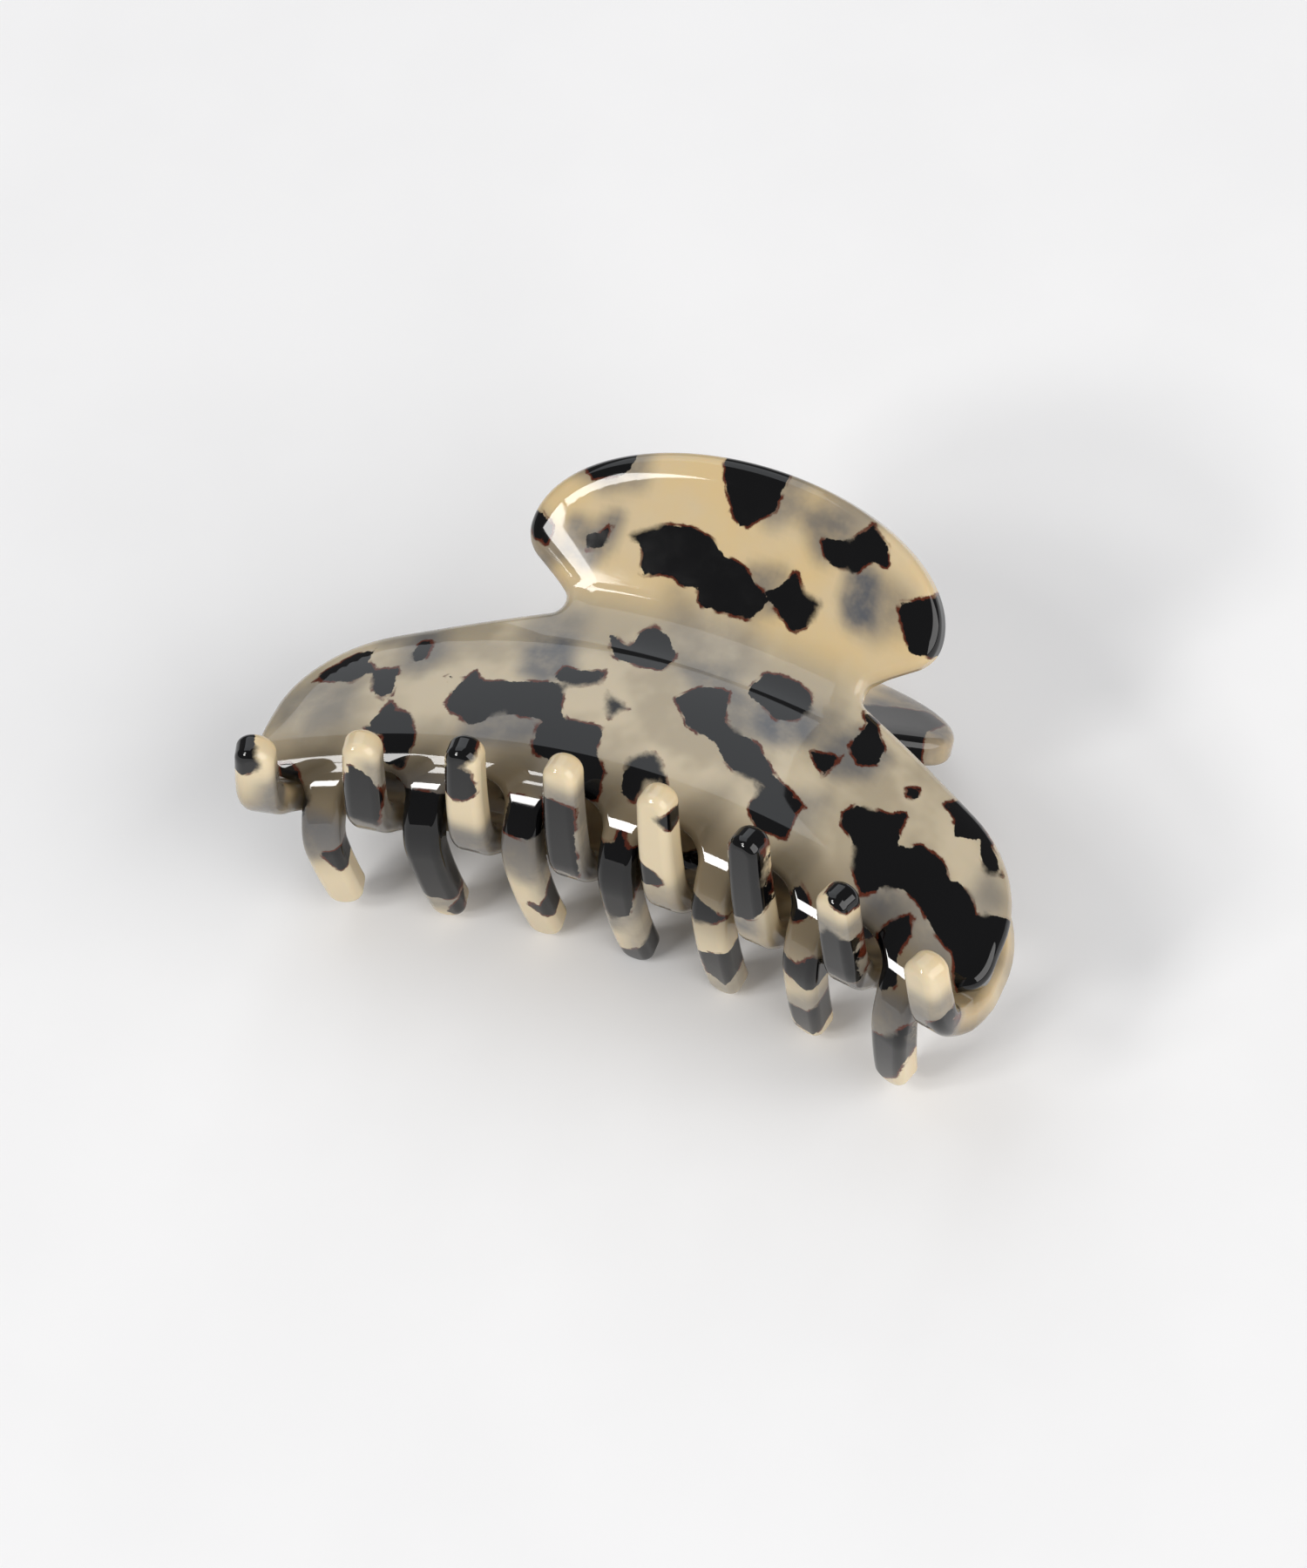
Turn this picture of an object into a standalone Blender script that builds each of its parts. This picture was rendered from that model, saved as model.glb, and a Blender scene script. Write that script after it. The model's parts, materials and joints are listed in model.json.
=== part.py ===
"""Claw hair clip: two heat-formed acetate jaws with interleaving teeth, joined by a sprung steel hinge pin.

Frame: X is along the hinge, +Y is towards the finger tabs, and +Z is up. The clip lies on the tips of its
front teeth and on the end of its rear tab, with the origin on the floor under its middle.
Sizes below are in millimetres and are turned into metres when a mesh is written.
"""

import math

import bmesh
import bpy
from mathutils import Matrix, Vector

MM = 0.001

# Sheet and teeth
SHEET = 3.8
EDGE_ROUNDING = 1.2
TOOTH_PITCH = 12.0
FRONT_TEETH = 7
REAR_TEETH = 8
TOOTH_ROOT_WIDTH = 4.9
TOOTH_TIP_WIDTH = 4.3
GAP_TOP = 8.6
TOOTH_LENGTH = 29.5
END_TOOTH_SHORTENING = 6.2
REAR_TOOTH_TRIM = 1.3

# Blank outline: plate
PLATE_END_MARGIN = 3.7
PLATE_END_RADIUS = 12.0
PLATE_TOP_SLOPE = 0.24
NECK_RADIUS = 1.5
FREE_END_RISE = 3.6
FREE_END_RADIUS = 6.6
FREE_ROOT_RADIUS = 4.0
FREE_ROOT_DROP = 1.6
TOOTHED_END_RISE = 5.5
TOOTHED_END_RADIUS = 8.4
FLANK_DROP = 4.0
FLANK_RADIUS = 14.0
ROUND_SHARE = 0.97

# Blank outline: finger tab
TAB_HALF_WIDTH = 25.6
TAB_RISE = 13.9
TAB_CORNER_RADIUS = 4.2
TAB_FROM_CREASE = 3.44
NECK_HALF_WIDTH = 18.9

# Section through the middle of a jaw, as bend radii and turns
END_OPENING = 1.406
BACK_RADIUS = 42.0
BACK_LENGTH = 12.36
CREASE_RADIUS = 9.0
TAB_ANGLE = math.radians(33.0)
REAR_TAB_ANGLE = math.radians(38.0)
SHOULDER_RADIUS = 14.6
SHOULDER_TURN = math.radians(61.0)
CORNER_RADIUS = 9.5
TOOTH_RADIUS = 73.0

# Sweep of the jaw ends away from the tab, at the front jaw's end teeth
SWEEP = 5.2
TOOTH_LEAN = 0.3
TOOTH_GATHER = 0.062

# Hinge
HINGE_BEHIND_BULGE = 12.0
REAR_TURN = math.radians(2.0)
PIN_RADIUS = 1.1
RUNNING_CLEARANCE = 0.05
PRESS_CLEARANCE = 0.02
PART_GAP = 0.3
KNUCKLE_WALL = 1.6
LUG_WIDTH = 3.0
LUG_FOOT_START = 7.5
LUG_FOOT_END = 13.8
KNUCKLE_START = math.radians(20.0)
KNUCKLE_TURN = math.radians(220.0)
SPRING_HALF_LENGTH = 5.6
SPRING_WIRE_RADIUS = 0.45
SPRING_COILS = 9
SPRING_LEG = 13.0
SPRING_KNEE = 1.0
SPRING_KNEE_LIFT = 0.6
SPRING_BORE_GAP = 0.65
SPRING_SIDE_GAP = 1.1
PIN_HEAD_RADIUS = 2.2
PIN_HEAD_HEIGHT = 1.0
PIN_PROUD = 0.8
PIN_CHAMFER = 0.3

# Mesh fineness
ARC_STEP = math.radians(24.0)
CUT_SPACING = 2.6
CROSS_SPACING = 7.0
ROUNDING_STEPS = 2
TAB_STEPS = 15
CREASE_STEPS = 4
FOOT_STEPS = 6
KNUCKLE_STEPS = 12
ROUND_SEGMENTS = 32
COIL_SEGMENTS = 16
SNAP = 0.04
CLOSEST_POINTS = 0.05
SHARP_ANGLE = math.radians(40.0)

BACK_TURN = BACK_LENGTH / BACK_RADIUS
CREASE_END = BACK_LENGTH + CREASE_RADIUS * (BACK_TURN + TAB_ANGLE)
SHOULDER_LENGTH = SHOULDER_RADIUS * SHOULDER_TURN
CORNER_TURN = math.pi / 2 - SHOULDER_TURN
CORNER_LENGTH = CORNER_RADIUS * CORNER_TURN
SWEEP_SPAN = (FRONT_TEETH - 1) / 2 * TOOTH_PITCH
BOW = SWEEP * math.tan(TAB_ANGLE)
TAB_SWEEP = SWEEP / math.cos(TAB_ANGLE)
HALF_LENGTH = (REAR_TEETH - 1) / 2 * TOOTH_PITCH + PLATE_END_MARGIN
BULGE_HEIGHT = SHEET + END_OPENING + BOW * (HALF_LENGTH / SWEEP_SPAN) ** 2
ROOT_LINE = -GAP_TOP


def section(v, tab_angle):
    """Outer face of a jaw's middle section at blank position v: (y, z), with the tab at +v."""
    if v >= 0:
        turn = min(v, BACK_LENGTH) / BACK_RADIUS
        y = BACK_RADIUS * math.sin(turn)
        z = BULGE_HEIGHT - BACK_RADIUS * (1 - math.cos(turn))
        if v > BACK_LENGTH:
            turn = min((v - BACK_LENGTH) / CREASE_RADIUS, BACK_TURN + tab_angle)
            y += CREASE_RADIUS * (math.sin(BACK_TURN) + math.sin(turn - BACK_TURN))
            z += CREASE_RADIUS * (math.cos(BACK_TURN) - math.cos(turn - BACK_TURN))
        beyond = v - BACK_LENGTH - CREASE_RADIUS * (BACK_TURN + tab_angle)
        if beyond > 0:
            y += beyond * math.cos(tab_angle)
            z += beyond * math.sin(tab_angle)
        return y, z
    turn = min(-v / SHOULDER_RADIUS, SHOULDER_TURN)
    y = -SHOULDER_RADIUS * math.sin(turn)
    z = BULGE_HEIGHT - SHOULDER_RADIUS * (1 - math.cos(turn))
    if -v > SHOULDER_LENGTH:
        turn = SHOULDER_TURN + min((-v - SHOULDER_LENGTH) / CORNER_RADIUS, CORNER_TURN)
        y -= CORNER_RADIUS * (math.sin(turn) - math.sin(SHOULDER_TURN))
        z -= CORNER_RADIUS * (math.cos(SHOULDER_TURN) - math.cos(turn))
    beyond = -v - SHOULDER_LENGTH - CORNER_LENGTH
    if beyond > 0:
        turn = beyond / TOOTH_RADIUS
        y += TOOTH_RADIUS * (1 - math.cos(turn))
        z -= TOOTH_RADIUS * math.sin(turn)
    return y, z


def face_point(u, v, tab_angle):
    """Outer face of a formed jaw at blank position (u, v), tab up, with the hinge axis along y = z = 0."""
    spread = (u / SWEEP_SPAN) ** 2
    along_tooth = min(max((ROOT_LINE - v) / TOOTH_LENGTH, 0.0), 1.0)
    y, z = section(v, tab_angle)
    x = u * (1 - TOOTH_GATHER * along_tooth)
    y += TOOTH_LEAN * spread * along_tooth - SWEEP * spread - HINGE_BEHIND_BULGE
    return Vector((x, y, z - BOW * spread))


def placed(point, side):
    """The point for the front jaw (side +1), or mirrored and turned about the hinge for the rear jaw (-1)."""
    if side > 0:
        return point
    c = math.cos(REAR_TURN)
    s = math.sin(REAR_TURN)
    return Vector((point.x, point.y * c - point.z * s, -point.z * c - point.y * s))


def formed(u, v, depth, side):
    """Point that lies depth below a jaw's outer face: side +1 is the front jaw, -1 the rear jaw below it."""
    tab_angle = TAB_ANGLE if side > 0 else REAR_TAB_ANGLE
    step = 0.05
    along_u = face_point(u + step, v, tab_angle) - face_point(u - step, v, tab_angle)
    along_v = face_point(u, v + step, tab_angle) - face_point(u, v - step, tab_angle)
    point = face_point(u, v, tab_angle) - along_u.cross(along_v).normalized() * depth
    return placed(point, side)


def rounded(corners):
    """Open path through the corners (u, v, radius), each rounded with its radius."""
    path = [Vector(corners[0][:2])]
    for before, corner, after in zip(corners, corners[1:], corners[2:]):
        tip = Vector(corner[:2])
        into = (tip - Vector(before[:2])).normalized()
        out = (Vector(after[:2]) - tip).normalized()
        turn = math.atan2(into.x * out.y - into.y * out.x, into.dot(out))
        radius = corner[2]
        if radius <= 0 or abs(turn) < math.radians(1):
            path.append(tip)
            continue
        side = math.copysign(1.0, turn)
        start = tip - into * radius * math.tan(abs(turn) / 2)
        centre = start + Vector((-into.y, into.x)) * radius * side
        steps = max(2, math.ceil(abs(turn) / ARC_STEP))
        arm = start - centre
        for index in range(steps + 1):
            angle = turn * index / steps
            c = math.cos(angle)
            s = math.sin(angle)
            path.append(centre + Vector((arm.x * c - arm.y * s, arm.x * s + arm.y * c)))
    path.append(Vector(corners[-1][:2]))
    return path


def tab_half():
    """Right half of the finger tab's edge in the blank, from the middle of its end to the neck."""
    tab_middle = CREASE_END + TAB_FROM_CREASE
    slope = TAB_ANGLE
    corner_drop = TAB_CORNER_RADIUS * math.tan((math.pi / 2 - slope) / 2)
    flat = []
    for index in range(TAB_STEPS + 1):
        angle = math.pi / 2 * (1 - index / TAB_STEPS)
        flat.append((TAB_HALF_WIDTH * math.cos(angle), TAB_RISE * math.sin(angle), 0))
    flat.append((TAB_HALF_WIDTH, -corner_drop, TAB_CORNER_RADIUS))
    run = TAB_HALF_WIDTH - NECK_HALF_WIDTH - NECK_RADIUS
    flat.append((TAB_HALF_WIDTH - run, -corner_drop - run * math.tan(slope), 0))
    half = []
    for point in rounded(flat):
        swept = TAB_SWEEP * (point.x / SWEEP_SPAN) ** 2
        half.append((point.x, tab_middle + point.y + swept, 0))
    return half


def half_outline(teeth, trim):
    """Right half of a blank's edge, from the middle of the tab's end to the middle of the tooth side."""
    half = tab_half()
    last, previous = half[-1], half[-2]
    slope = (last[1] - previous[1]) / (last[0] - previous[0])
    neck_u = NECK_HALF_WIDTH - NECK_RADIUS * 1.2
    neck_v = last[1] - slope * (last[0] - neck_u)
    end_top = neck_v - PLATE_TOP_SLOPE * (HALF_LENGTH - neck_u)
    half.append((neck_u, neck_v, NECK_RADIUS))
    half.append((HALF_LENGTH, end_top, PLATE_END_RADIUS))
    root = TOOTH_ROOT_WIDTH / 2
    tip = TOOTH_TIP_WIDTH / 2
    centres = [(index - (teeth - 1) / 2) * TOOTH_PITCH for index in range(teeth)]
    centres = [centre for centre in reversed(centres) if centre > -TOOTH_PITCH / 4]
    free_end = HALF_LENGTH - centres[0] - root
    if free_end > TOOTH_PITCH / 3:
        half.append((HALF_LENGTH, ROOT_LINE + FREE_END_RISE, FREE_END_RADIUS))
        half.append((HALF_LENGTH - free_end / 2, ROOT_LINE, FREE_ROOT_RADIUS))
        half.append((centres[0] + root, ROOT_LINE - FREE_ROOT_DROP, FREE_ROOT_DROP))
    else:
        half.append((HALF_LENGTH, ROOT_LINE + TOOTHED_END_RISE, TOOTHED_END_RADIUS))
        half.append((centres[0] + root, ROOT_LINE - FLANK_DROP, FLANK_RADIUS))
    gap_radius = (TOOTH_PITCH - TOOTH_ROOT_WIDTH) / 2 * ROUND_SHARE
    tip_radius = tip * ROUND_SHARE
    for index, centre in enumerate(centres):
        spread = (centre / SWEEP_SPAN) ** 2
        end = ROOT_LINE - TOOTH_LENGTH + END_TOOTH_SHORTENING * spread + trim
        half.append((centre + tip, end, tip_radius))
        if centre > TOOTH_PITCH / 4:
            half.append((centre - tip, end, tip_radius))
            half.append((centre - root, ROOT_LINE, gap_radius))
        if index + 1 < len(centres):
            half.append((centres[index + 1] + root, ROOT_LINE, gap_radius))
    return half


def outline(teeth, trim):
    """Closed edge of a blank, as points in order. Its teeth are trim shorter than the full length."""
    right = half_outline(teeth, trim)
    left = [(-u, v, radius) for u, v, radius in reversed(right[1:])]
    path = rounded(right + left + [right[0]])
    kept = [path[0]]
    for point in path[1:-1]:
        if (point - kept[-1]).length > CLOSEST_POINTS:
            kept.append(point)
    return kept


def inward(points):
    """Inward normal at each point of a closed clockwise path, as long as keeps the inset edges parallel."""
    normals = []
    for index, point in enumerate(points):
        ahead = (points[(index + 1) % len(points)] - point).normalized()
        behind = (point - points[index - 1]).normalized()
        mean = (ahead + behind).normalized()
        normals.append(Vector((mean.y, -mean.x)) / max(mean.dot(ahead), 0.5))
    return normals


def flat_blank(teeth, trim):
    """Closed solid of the flat blank with its edges rounded: x = u, y = v, z = depth below the outer face."""
    points = outline(teeth, trim)
    normals = inward(points)
    rings = []
    for step in range(ROUNDING_STEPS + 1):
        angle = math.pi / 2 * step / ROUNDING_STEPS
        inset = EDGE_ROUNDING * (1 - math.sin(angle))
        rings.append((inset, EDGE_ROUNDING * (1 - math.cos(angle))))
    rings += [(inset, SHEET - depth) for inset, depth in reversed(rings)]
    mesh = bmesh.new()
    loops = []
    for inset, depth in rings:
        loop = []
        for point, normal in zip(points, normals):
            loop.append(mesh.verts.new((*(point + normal * inset), depth)))
        loops.append(loop)
    count = len(points)
    for upper, lower in zip(loops, loops[1:]):
        for index in range(count):
            following = (index + 1) % count
            mesh.faces.new((upper[index], upper[following], lower[following], lower[index]))
    mesh.faces.new(loops[0])
    mesh.faces.new(list(reversed(loops[-1])))
    return mesh


def cut_across(mesh, positions, direction):
    """Divides every face where it crosses the planes at the positions along a direction."""
    for position in positions:
        every = list(mesh.verts) + list(mesh.edges) + list(mesh.faces)
        middle = direction * position
        bmesh.ops.bisect_plane(mesh, geom=every, dist=SNAP, plane_co=middle, plane_no=direction)


def cut_positions():
    """Blank positions v that need an edge, so that the bends are followed."""
    low = ROOT_LINE - TOOTH_LENGTH
    positions = []
    position = 0.0
    while position > low:
        positions.append(position)
        position -= CUT_SPACING
    back_steps = math.ceil(BACK_LENGTH / CUT_SPACING / 1.5)
    for index in range(1, back_steps):
        positions.append(BACK_LENGTH * index / back_steps)
    for index in range(CREASE_STEPS + 1):
        positions.append(BACK_LENGTH + (CREASE_END - BACK_LENGTH) * index / CREASE_STEPS)
    return positions


def finished(mesh, name, material):
    """Writes a bmesh in millimetres as a named object in metres."""
    bmesh.ops.recalc_face_normals(mesh, faces=mesh.faces)
    if mesh.calc_volume(signed=True) < 0:
        bmesh.ops.reverse_faces(mesh, faces=mesh.faces)
    for vertex in mesh.verts:
        vertex.co *= MM
    data = bpy.data.meshes.new(name)
    mesh.to_mesh(data)
    mesh.free()
    data.materials.append(material)
    obj = bpy.data.objects.new(name, data)
    bpy.context.collection.objects.link(obj)
    data.shade_smooth()
    data.set_sharp_from_angle(angle=SHARP_ANGLE)
    return obj


def jaw_mesh(teeth, trim, side):
    """Formed jaw: side +1 is the front jaw above the hinge, -1 the rear jaw below it."""
    mesh = flat_blank(teeth, trim)
    cut_across(mesh, cut_positions(), Vector((0, 1, 0)))
    crossings = []
    count = math.ceil(HALF_LENGTH / CROSS_SPACING)
    for index in range(-count, count + 1):
        crossings.append(index * CROSS_SPACING)
    cut_across(mesh, crossings, Vector((1, 0, 0)))
    bmesh.ops.remove_doubles(mesh, verts=mesh.verts, dist=SNAP)
    bmesh.ops.dissolve_degenerate(mesh, dist=SNAP / 2, edges=mesh.edges)
    bmesh.ops.triangulate(mesh, faces=mesh.faces)
    for vertex in mesh.verts:
        u, v, depth = vertex.co
        vertex.co = formed(u, v, depth, side)
    return mesh


def lug_mesh(inner_x, outward, side, bore):
    """Hinge lug under a jaw: a foot that follows the jaw's inner face, and a round knuckle on the pin."""
    knuckle = bore + KNUCKLE_WALL
    mesh = bmesh.new()
    loops = []
    for x in (inner_x * outward, (inner_x + LUG_WIDTH) * outward):
        loop = []
        for index in range(FOOT_STEPS + 1):
            v = LUG_FOOT_START + (LUG_FOOT_END - LUG_FOOT_START) * index / FOOT_STEPS
            point = formed(x, v, SHEET + PART_GAP, side)
            loop.append(Vector((x, point.y, point.z)))
        for index in range(KNUCKLE_STEPS + 1):
            angle = KNUCKLE_START - KNUCKLE_TURN * index / KNUCKLE_STEPS
            point = Vector((x, knuckle * math.cos(angle), knuckle * math.sin(angle)))
            loop.append(placed(point, side))
        loops.append([mesh.verts.new(point) for point in loop])
    count = len(loops[0])
    for index in range(count):
        following = (index + 1) % count
        mesh.faces.new((loops[0][index], loops[0][following], loops[1][following], loops[1][index]))
    mesh.faces.new(loops[0])
    mesh.faces.new(list(reversed(loops[1])))
    return mesh


def revolved(profile):
    """Solid turned about the X axis from (x, radius) points that start and end on the axis."""
    mesh = bmesh.new()
    rings = []
    for x, radius in profile:
        if radius == 0:
            rings.append([mesh.verts.new((x, 0, 0))])
            continue
        ring = []
        for index in range(ROUND_SEGMENTS):
            angle = 2 * math.pi * index / ROUND_SEGMENTS
            ring.append(mesh.verts.new((x, radius * math.cos(angle), radius * math.sin(angle))))
        rings.append(ring)
    for first, second in zip(rings, rings[1:]):
        for index in range(ROUND_SEGMENTS):
            following = (index + 1) % ROUND_SEGMENTS
            corners = [first[index % len(first)], first[following % len(first)]]
            corners += [second[following % len(second)], second[index % len(second)]]
            unique = list(dict.fromkeys(corners))
            mesh.faces.new(unique)
    return mesh


def bored(obj, radius, length, name):
    """Bores the object along the hinge axis with a hidden cutter."""
    cutter = revolved([(-length, 0), (-length, radius), (length, radius), (length, 0)])
    tool = finished(cutter, name, obj.data.materials[0])
    tool.hide_render = True
    tool.display_type = "WIRE"
    cut = obj.modifiers.new("bore", "BOOLEAN")
    cut.operation = "DIFFERENCE"
    cut.solver = "EXACT"
    cut.object = tool
    return tool


def spring_path():
    """Centre line of the spring wire: front leg, coils round the pin, rear leg."""
    coil_radius = PIN_RADIUS + SPRING_BORE_GAP + SPRING_WIRE_RADIUS
    inner_lift = SHEET + PART_GAP * 1.5 + SPRING_WIRE_RADIUS
    path = []
    legs = []
    for side in (1, -1):
        foot = formed(0, BACK_LENGTH + SPRING_LEG, inner_lift, side)
        knee = formed(0, CREASE_END + SPRING_KNEE, inner_lift + SPRING_KNEE_LIFT, side)
        legs.append((foot, knee))
    for point in legs[0]:
        path.append(Vector((-SPRING_HALF_LENGTH, point.y, point.z)))
    steps = round((SPRING_COILS + 0.5) * COIL_SEGMENTS)
    for index in range(steps + 1):
        angle = math.pi / 2 + 2 * math.pi * index / COIL_SEGMENTS
        x = -SPRING_HALF_LENGTH + 2 * SPRING_HALF_LENGTH * index / steps
        path.append(Vector((x, coil_radius * math.cos(angle), coil_radius * math.sin(angle))))
    for point in reversed(legs[1]):
        path.append(Vector((SPRING_HALF_LENGTH, point.y, point.z)))
    return path


def wire(path, radius, name, material):
    """Round wire along a path, as a closed mesh object."""
    curve = bpy.data.curves.new(name, "CURVE")
    curve.dimensions = "3D"
    curve.bevel_depth = radius * MM
    curve.bevel_resolution = 1
    curve.use_fill_caps = True
    spline = curve.splines.new("POLY")
    spline.points.add(len(path) - 1)
    for point, target in zip(spline.points, path):
        point.co = (*(target * MM), 1)
    holder = bpy.data.objects.new(name, curve)
    bpy.context.collection.objects.link(holder)
    bpy.context.view_layer.update()
    data = bpy.data.meshes.new_from_object(holder)
    bpy.data.objects.remove(holder)
    bpy.data.curves.remove(curve)
    data.name = name
    data.materials.clear()
    data.materials.append(material)
    obj = bpy.data.objects.new(name, data)
    bpy.context.collection.objects.link(obj)
    mesh = bmesh.new()
    mesh.from_mesh(data)
    bmesh.ops.remove_doubles(mesh, verts=mesh.verts, dist=1e-6)
    bmesh.ops.recalc_face_normals(mesh, faces=mesh.faces)
    if mesh.calc_volume(signed=True) < 0:
        bmesh.ops.reverse_faces(mesh, faces=mesh.faces)
    mesh.to_mesh(data)
    mesh.free()
    data.shade_smooth()
    return obj


def lowest(obj, pitch):
    """Lowest point of an object once it is pitched about the hinge."""
    turn = Matrix.Rotation(pitch, 4, "X")
    return min((turn @ vertex.co for vertex in obj.data.vertices), key=lambda point: point.z)


def surface(name, colour, roughness, metallic):
    material = bpy.data.materials.new(name)
    material.use_nodes = True
    shader = material.node_tree.nodes["Principled BSDF"]
    shader.inputs["Base Color"].default_value = (*colour, 1)
    shader.inputs["Roughness"].default_value = roughness
    shader.inputs["Metallic"].default_value = metallic
    return material


for leftover in list(bpy.data.objects):
    bpy.data.objects.remove(leftover)

acetate = surface("tortoise_acetate", (0.72, 0.6, 0.42), 0.12, 0)
lug_acetate = surface("lug_acetate", (0.62, 0.5, 0.34), 0.2, 0)
pin_steel = surface("pin_steel", (0.6, 0.6, 0.6), 0.25, 1)
spring_steel = surface("spring_steel", (0.5, 0.5, 0.52), 0.3, 1)

front_jaw = finished(jaw_mesh(FRONT_TEETH, 0, 1), "front_jaw", acetate)
rear_jaw = finished(jaw_mesh(REAR_TEETH, REAR_TOOTH_TRIM, -1), "rear_jaw", acetate)

bore = PIN_RADIUS + RUNNING_CLEARANCE
front_x = SPRING_HALF_LENGTH + SPRING_WIRE_RADIUS + SPRING_SIDE_GAP
rear_x = front_x + LUG_WIDTH + PART_GAP
lug_end = rear_x + LUG_WIDTH + PART_GAP
cutters = []
fixed = [rear_jaw]
moving = [front_jaw]
for hand, outward in (("left", -1), ("right", 1)):
    lug = finished(lug_mesh(front_x, outward, 1, bore), f"front_lug_{hand}", lug_acetate)
    cutters.append(bored(lug, bore, lug_end, f"front_bore_{hand}"))
    moving.append(lug)
    lug = finished(lug_mesh(rear_x, outward, -1, bore), f"rear_lug_{hand}", lug_acetate)
    cutters.append(bored(lug, bore, lug_end, f"rear_bore_{hand}"))
    fixed.append(lug)

head_end = lug_end + PIN_HEAD_HEIGHT
pin_end = head_end + PIN_PROUD
pin_profile = [
    (-head_end, 0),
    (-head_end, PIN_HEAD_RADIUS - PIN_CHAMFER * 2),
    (-head_end + PIN_CHAMFER, PIN_HEAD_RADIUS),
    (-lug_end, PIN_HEAD_RADIUS),
    (-lug_end, PIN_RADIUS),
    (pin_end - PIN_CHAMFER, PIN_RADIUS),
    (pin_end, PIN_RADIUS - PIN_CHAMFER),
    (pin_end, 0),
]
fixed.append(finished(revolved(pin_profile), "hinge_pin", pin_steel))

collar_profile = [
    (lug_end, 0),
    (lug_end, PIN_HEAD_RADIUS),
    (head_end - PIN_CHAMFER, PIN_HEAD_RADIUS),
    (head_end, PIN_HEAD_RADIUS - PIN_CHAMFER),
    (head_end, 0),
]
collar = finished(revolved(collar_profile), "pin_collar", pin_steel)
cutters.append(bored(collar, PIN_RADIUS + PRESS_CLEARANCE, pin_end * 2, "collar_bore"))
fixed.append(collar)

spring = wire(spring_path(), SPRING_WIRE_RADIUS, "torsion_spring", spring_steel)
fixed.append(spring)

# The clip lies on the tips of its front teeth and on the end of its rear tab.
pitch = 0.0
for attempt in range(4):
    teeth_low = lowest(front_jaw, pitch)
    tab_low = lowest(rear_jaw, pitch)
    pitch += (teeth_low.z - tab_low.z) / (tab_low.y - teeth_low.y)
for obj in fixed + moving + cutters:
    obj.data.transform(Matrix.Rotation(pitch, 4, "X"))

# The frame's origin is on the floor, under the middle of the clip.
corners = []
for jaw in (front_jaw, rear_jaw):
    corners += [vertex.co for vertex in jaw.data.vertices]
low_y = min(corner.y for corner in corners)
high_y = max(corner.y for corner in corners)
low_z = min(corner.z for corner in corners)
for obj in fixed + moving + cutters:
    obj.location = (0, -(low_y + high_y) / 2, -low_z)
for lug in moving[1:]:
    lug.parent = front_jaw
    lug.location = (0, 0, 0)
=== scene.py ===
"""Looks of the acetate claw clip: fine jaws with a tortoise pattern, hinge lugs, pin, collar and spring.

The jaws are formed as in part.py, from the same sizes, on a finer mesh. Sizes are in millimetres until a
mesh is written. Blank coordinates are u along the hinge, v towards the finger tab, and depth below the
outer face.
"""
import json
import math

import bmesh
import bpy
import numpy as np
from mathutils import Euler, Matrix, Vector, geometry


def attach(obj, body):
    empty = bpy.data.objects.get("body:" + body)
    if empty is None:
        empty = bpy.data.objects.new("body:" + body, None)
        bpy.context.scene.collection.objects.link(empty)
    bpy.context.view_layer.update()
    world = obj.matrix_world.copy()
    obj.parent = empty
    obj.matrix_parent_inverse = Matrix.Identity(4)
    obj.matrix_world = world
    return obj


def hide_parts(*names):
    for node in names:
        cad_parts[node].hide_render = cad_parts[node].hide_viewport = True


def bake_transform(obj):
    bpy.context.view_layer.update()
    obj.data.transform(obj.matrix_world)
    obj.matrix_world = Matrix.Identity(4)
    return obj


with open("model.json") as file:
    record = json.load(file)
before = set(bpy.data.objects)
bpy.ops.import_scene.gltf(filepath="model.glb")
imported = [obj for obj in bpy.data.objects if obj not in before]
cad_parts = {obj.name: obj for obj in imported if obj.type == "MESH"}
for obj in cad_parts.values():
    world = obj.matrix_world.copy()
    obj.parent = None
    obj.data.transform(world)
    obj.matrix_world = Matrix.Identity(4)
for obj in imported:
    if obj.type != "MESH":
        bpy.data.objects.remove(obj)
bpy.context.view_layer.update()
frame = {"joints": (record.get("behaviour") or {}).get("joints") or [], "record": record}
MM = 0.001

# Sizes of the jaws, as in part.py
SHEET = 3.8
EDGE_ROUNDING = 1.2
TOOTH_PITCH = 12.0
FRONT_TEETH = 7
REAR_TEETH = 8
TOOTH_ROOT_WIDTH = 4.9
TOOTH_TIP_WIDTH = 4.3
GAP_TOP = 8.6
TOOTH_LENGTH = 29.5
END_TOOTH_SHORTENING = 6.2
REAR_TOOTH_TRIM = 1.3
PLATE_END_MARGIN = 3.7
PLATE_END_RADIUS = 12.0
PLATE_TOP_SLOPE = 0.24
NECK_RADIUS = 1.5
FREE_END_RISE = 3.6
FREE_END_RADIUS = 6.6
FREE_ROOT_RADIUS = 4.0
FREE_ROOT_DROP = 1.6
TOOTHED_END_RISE = 5.5
TOOTHED_END_RADIUS = 8.4
FLANK_DROP = 4.0
FLANK_RADIUS = 14.0
ROUND_SHARE = 0.97
TAB_HALF_WIDTH = 25.6
TAB_RISE = 13.9
TAB_CORNER_RADIUS = 4.2
TAB_FROM_CREASE = 3.44
NECK_HALF_WIDTH = 18.9
END_OPENING = 1.406
BACK_RADIUS = 42.0
BACK_LENGTH = 12.36
CREASE_RADIUS = 9.0
TAB_ANGLE = math.radians(33.0)
REAR_TAB_ANGLE = math.radians(38.0)
SHOULDER_RADIUS = 14.6
SHOULDER_TURN = math.radians(61.0)
CORNER_RADIUS = 9.5
TOOTH_RADIUS = 73.0
SWEEP = 5.2
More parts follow.
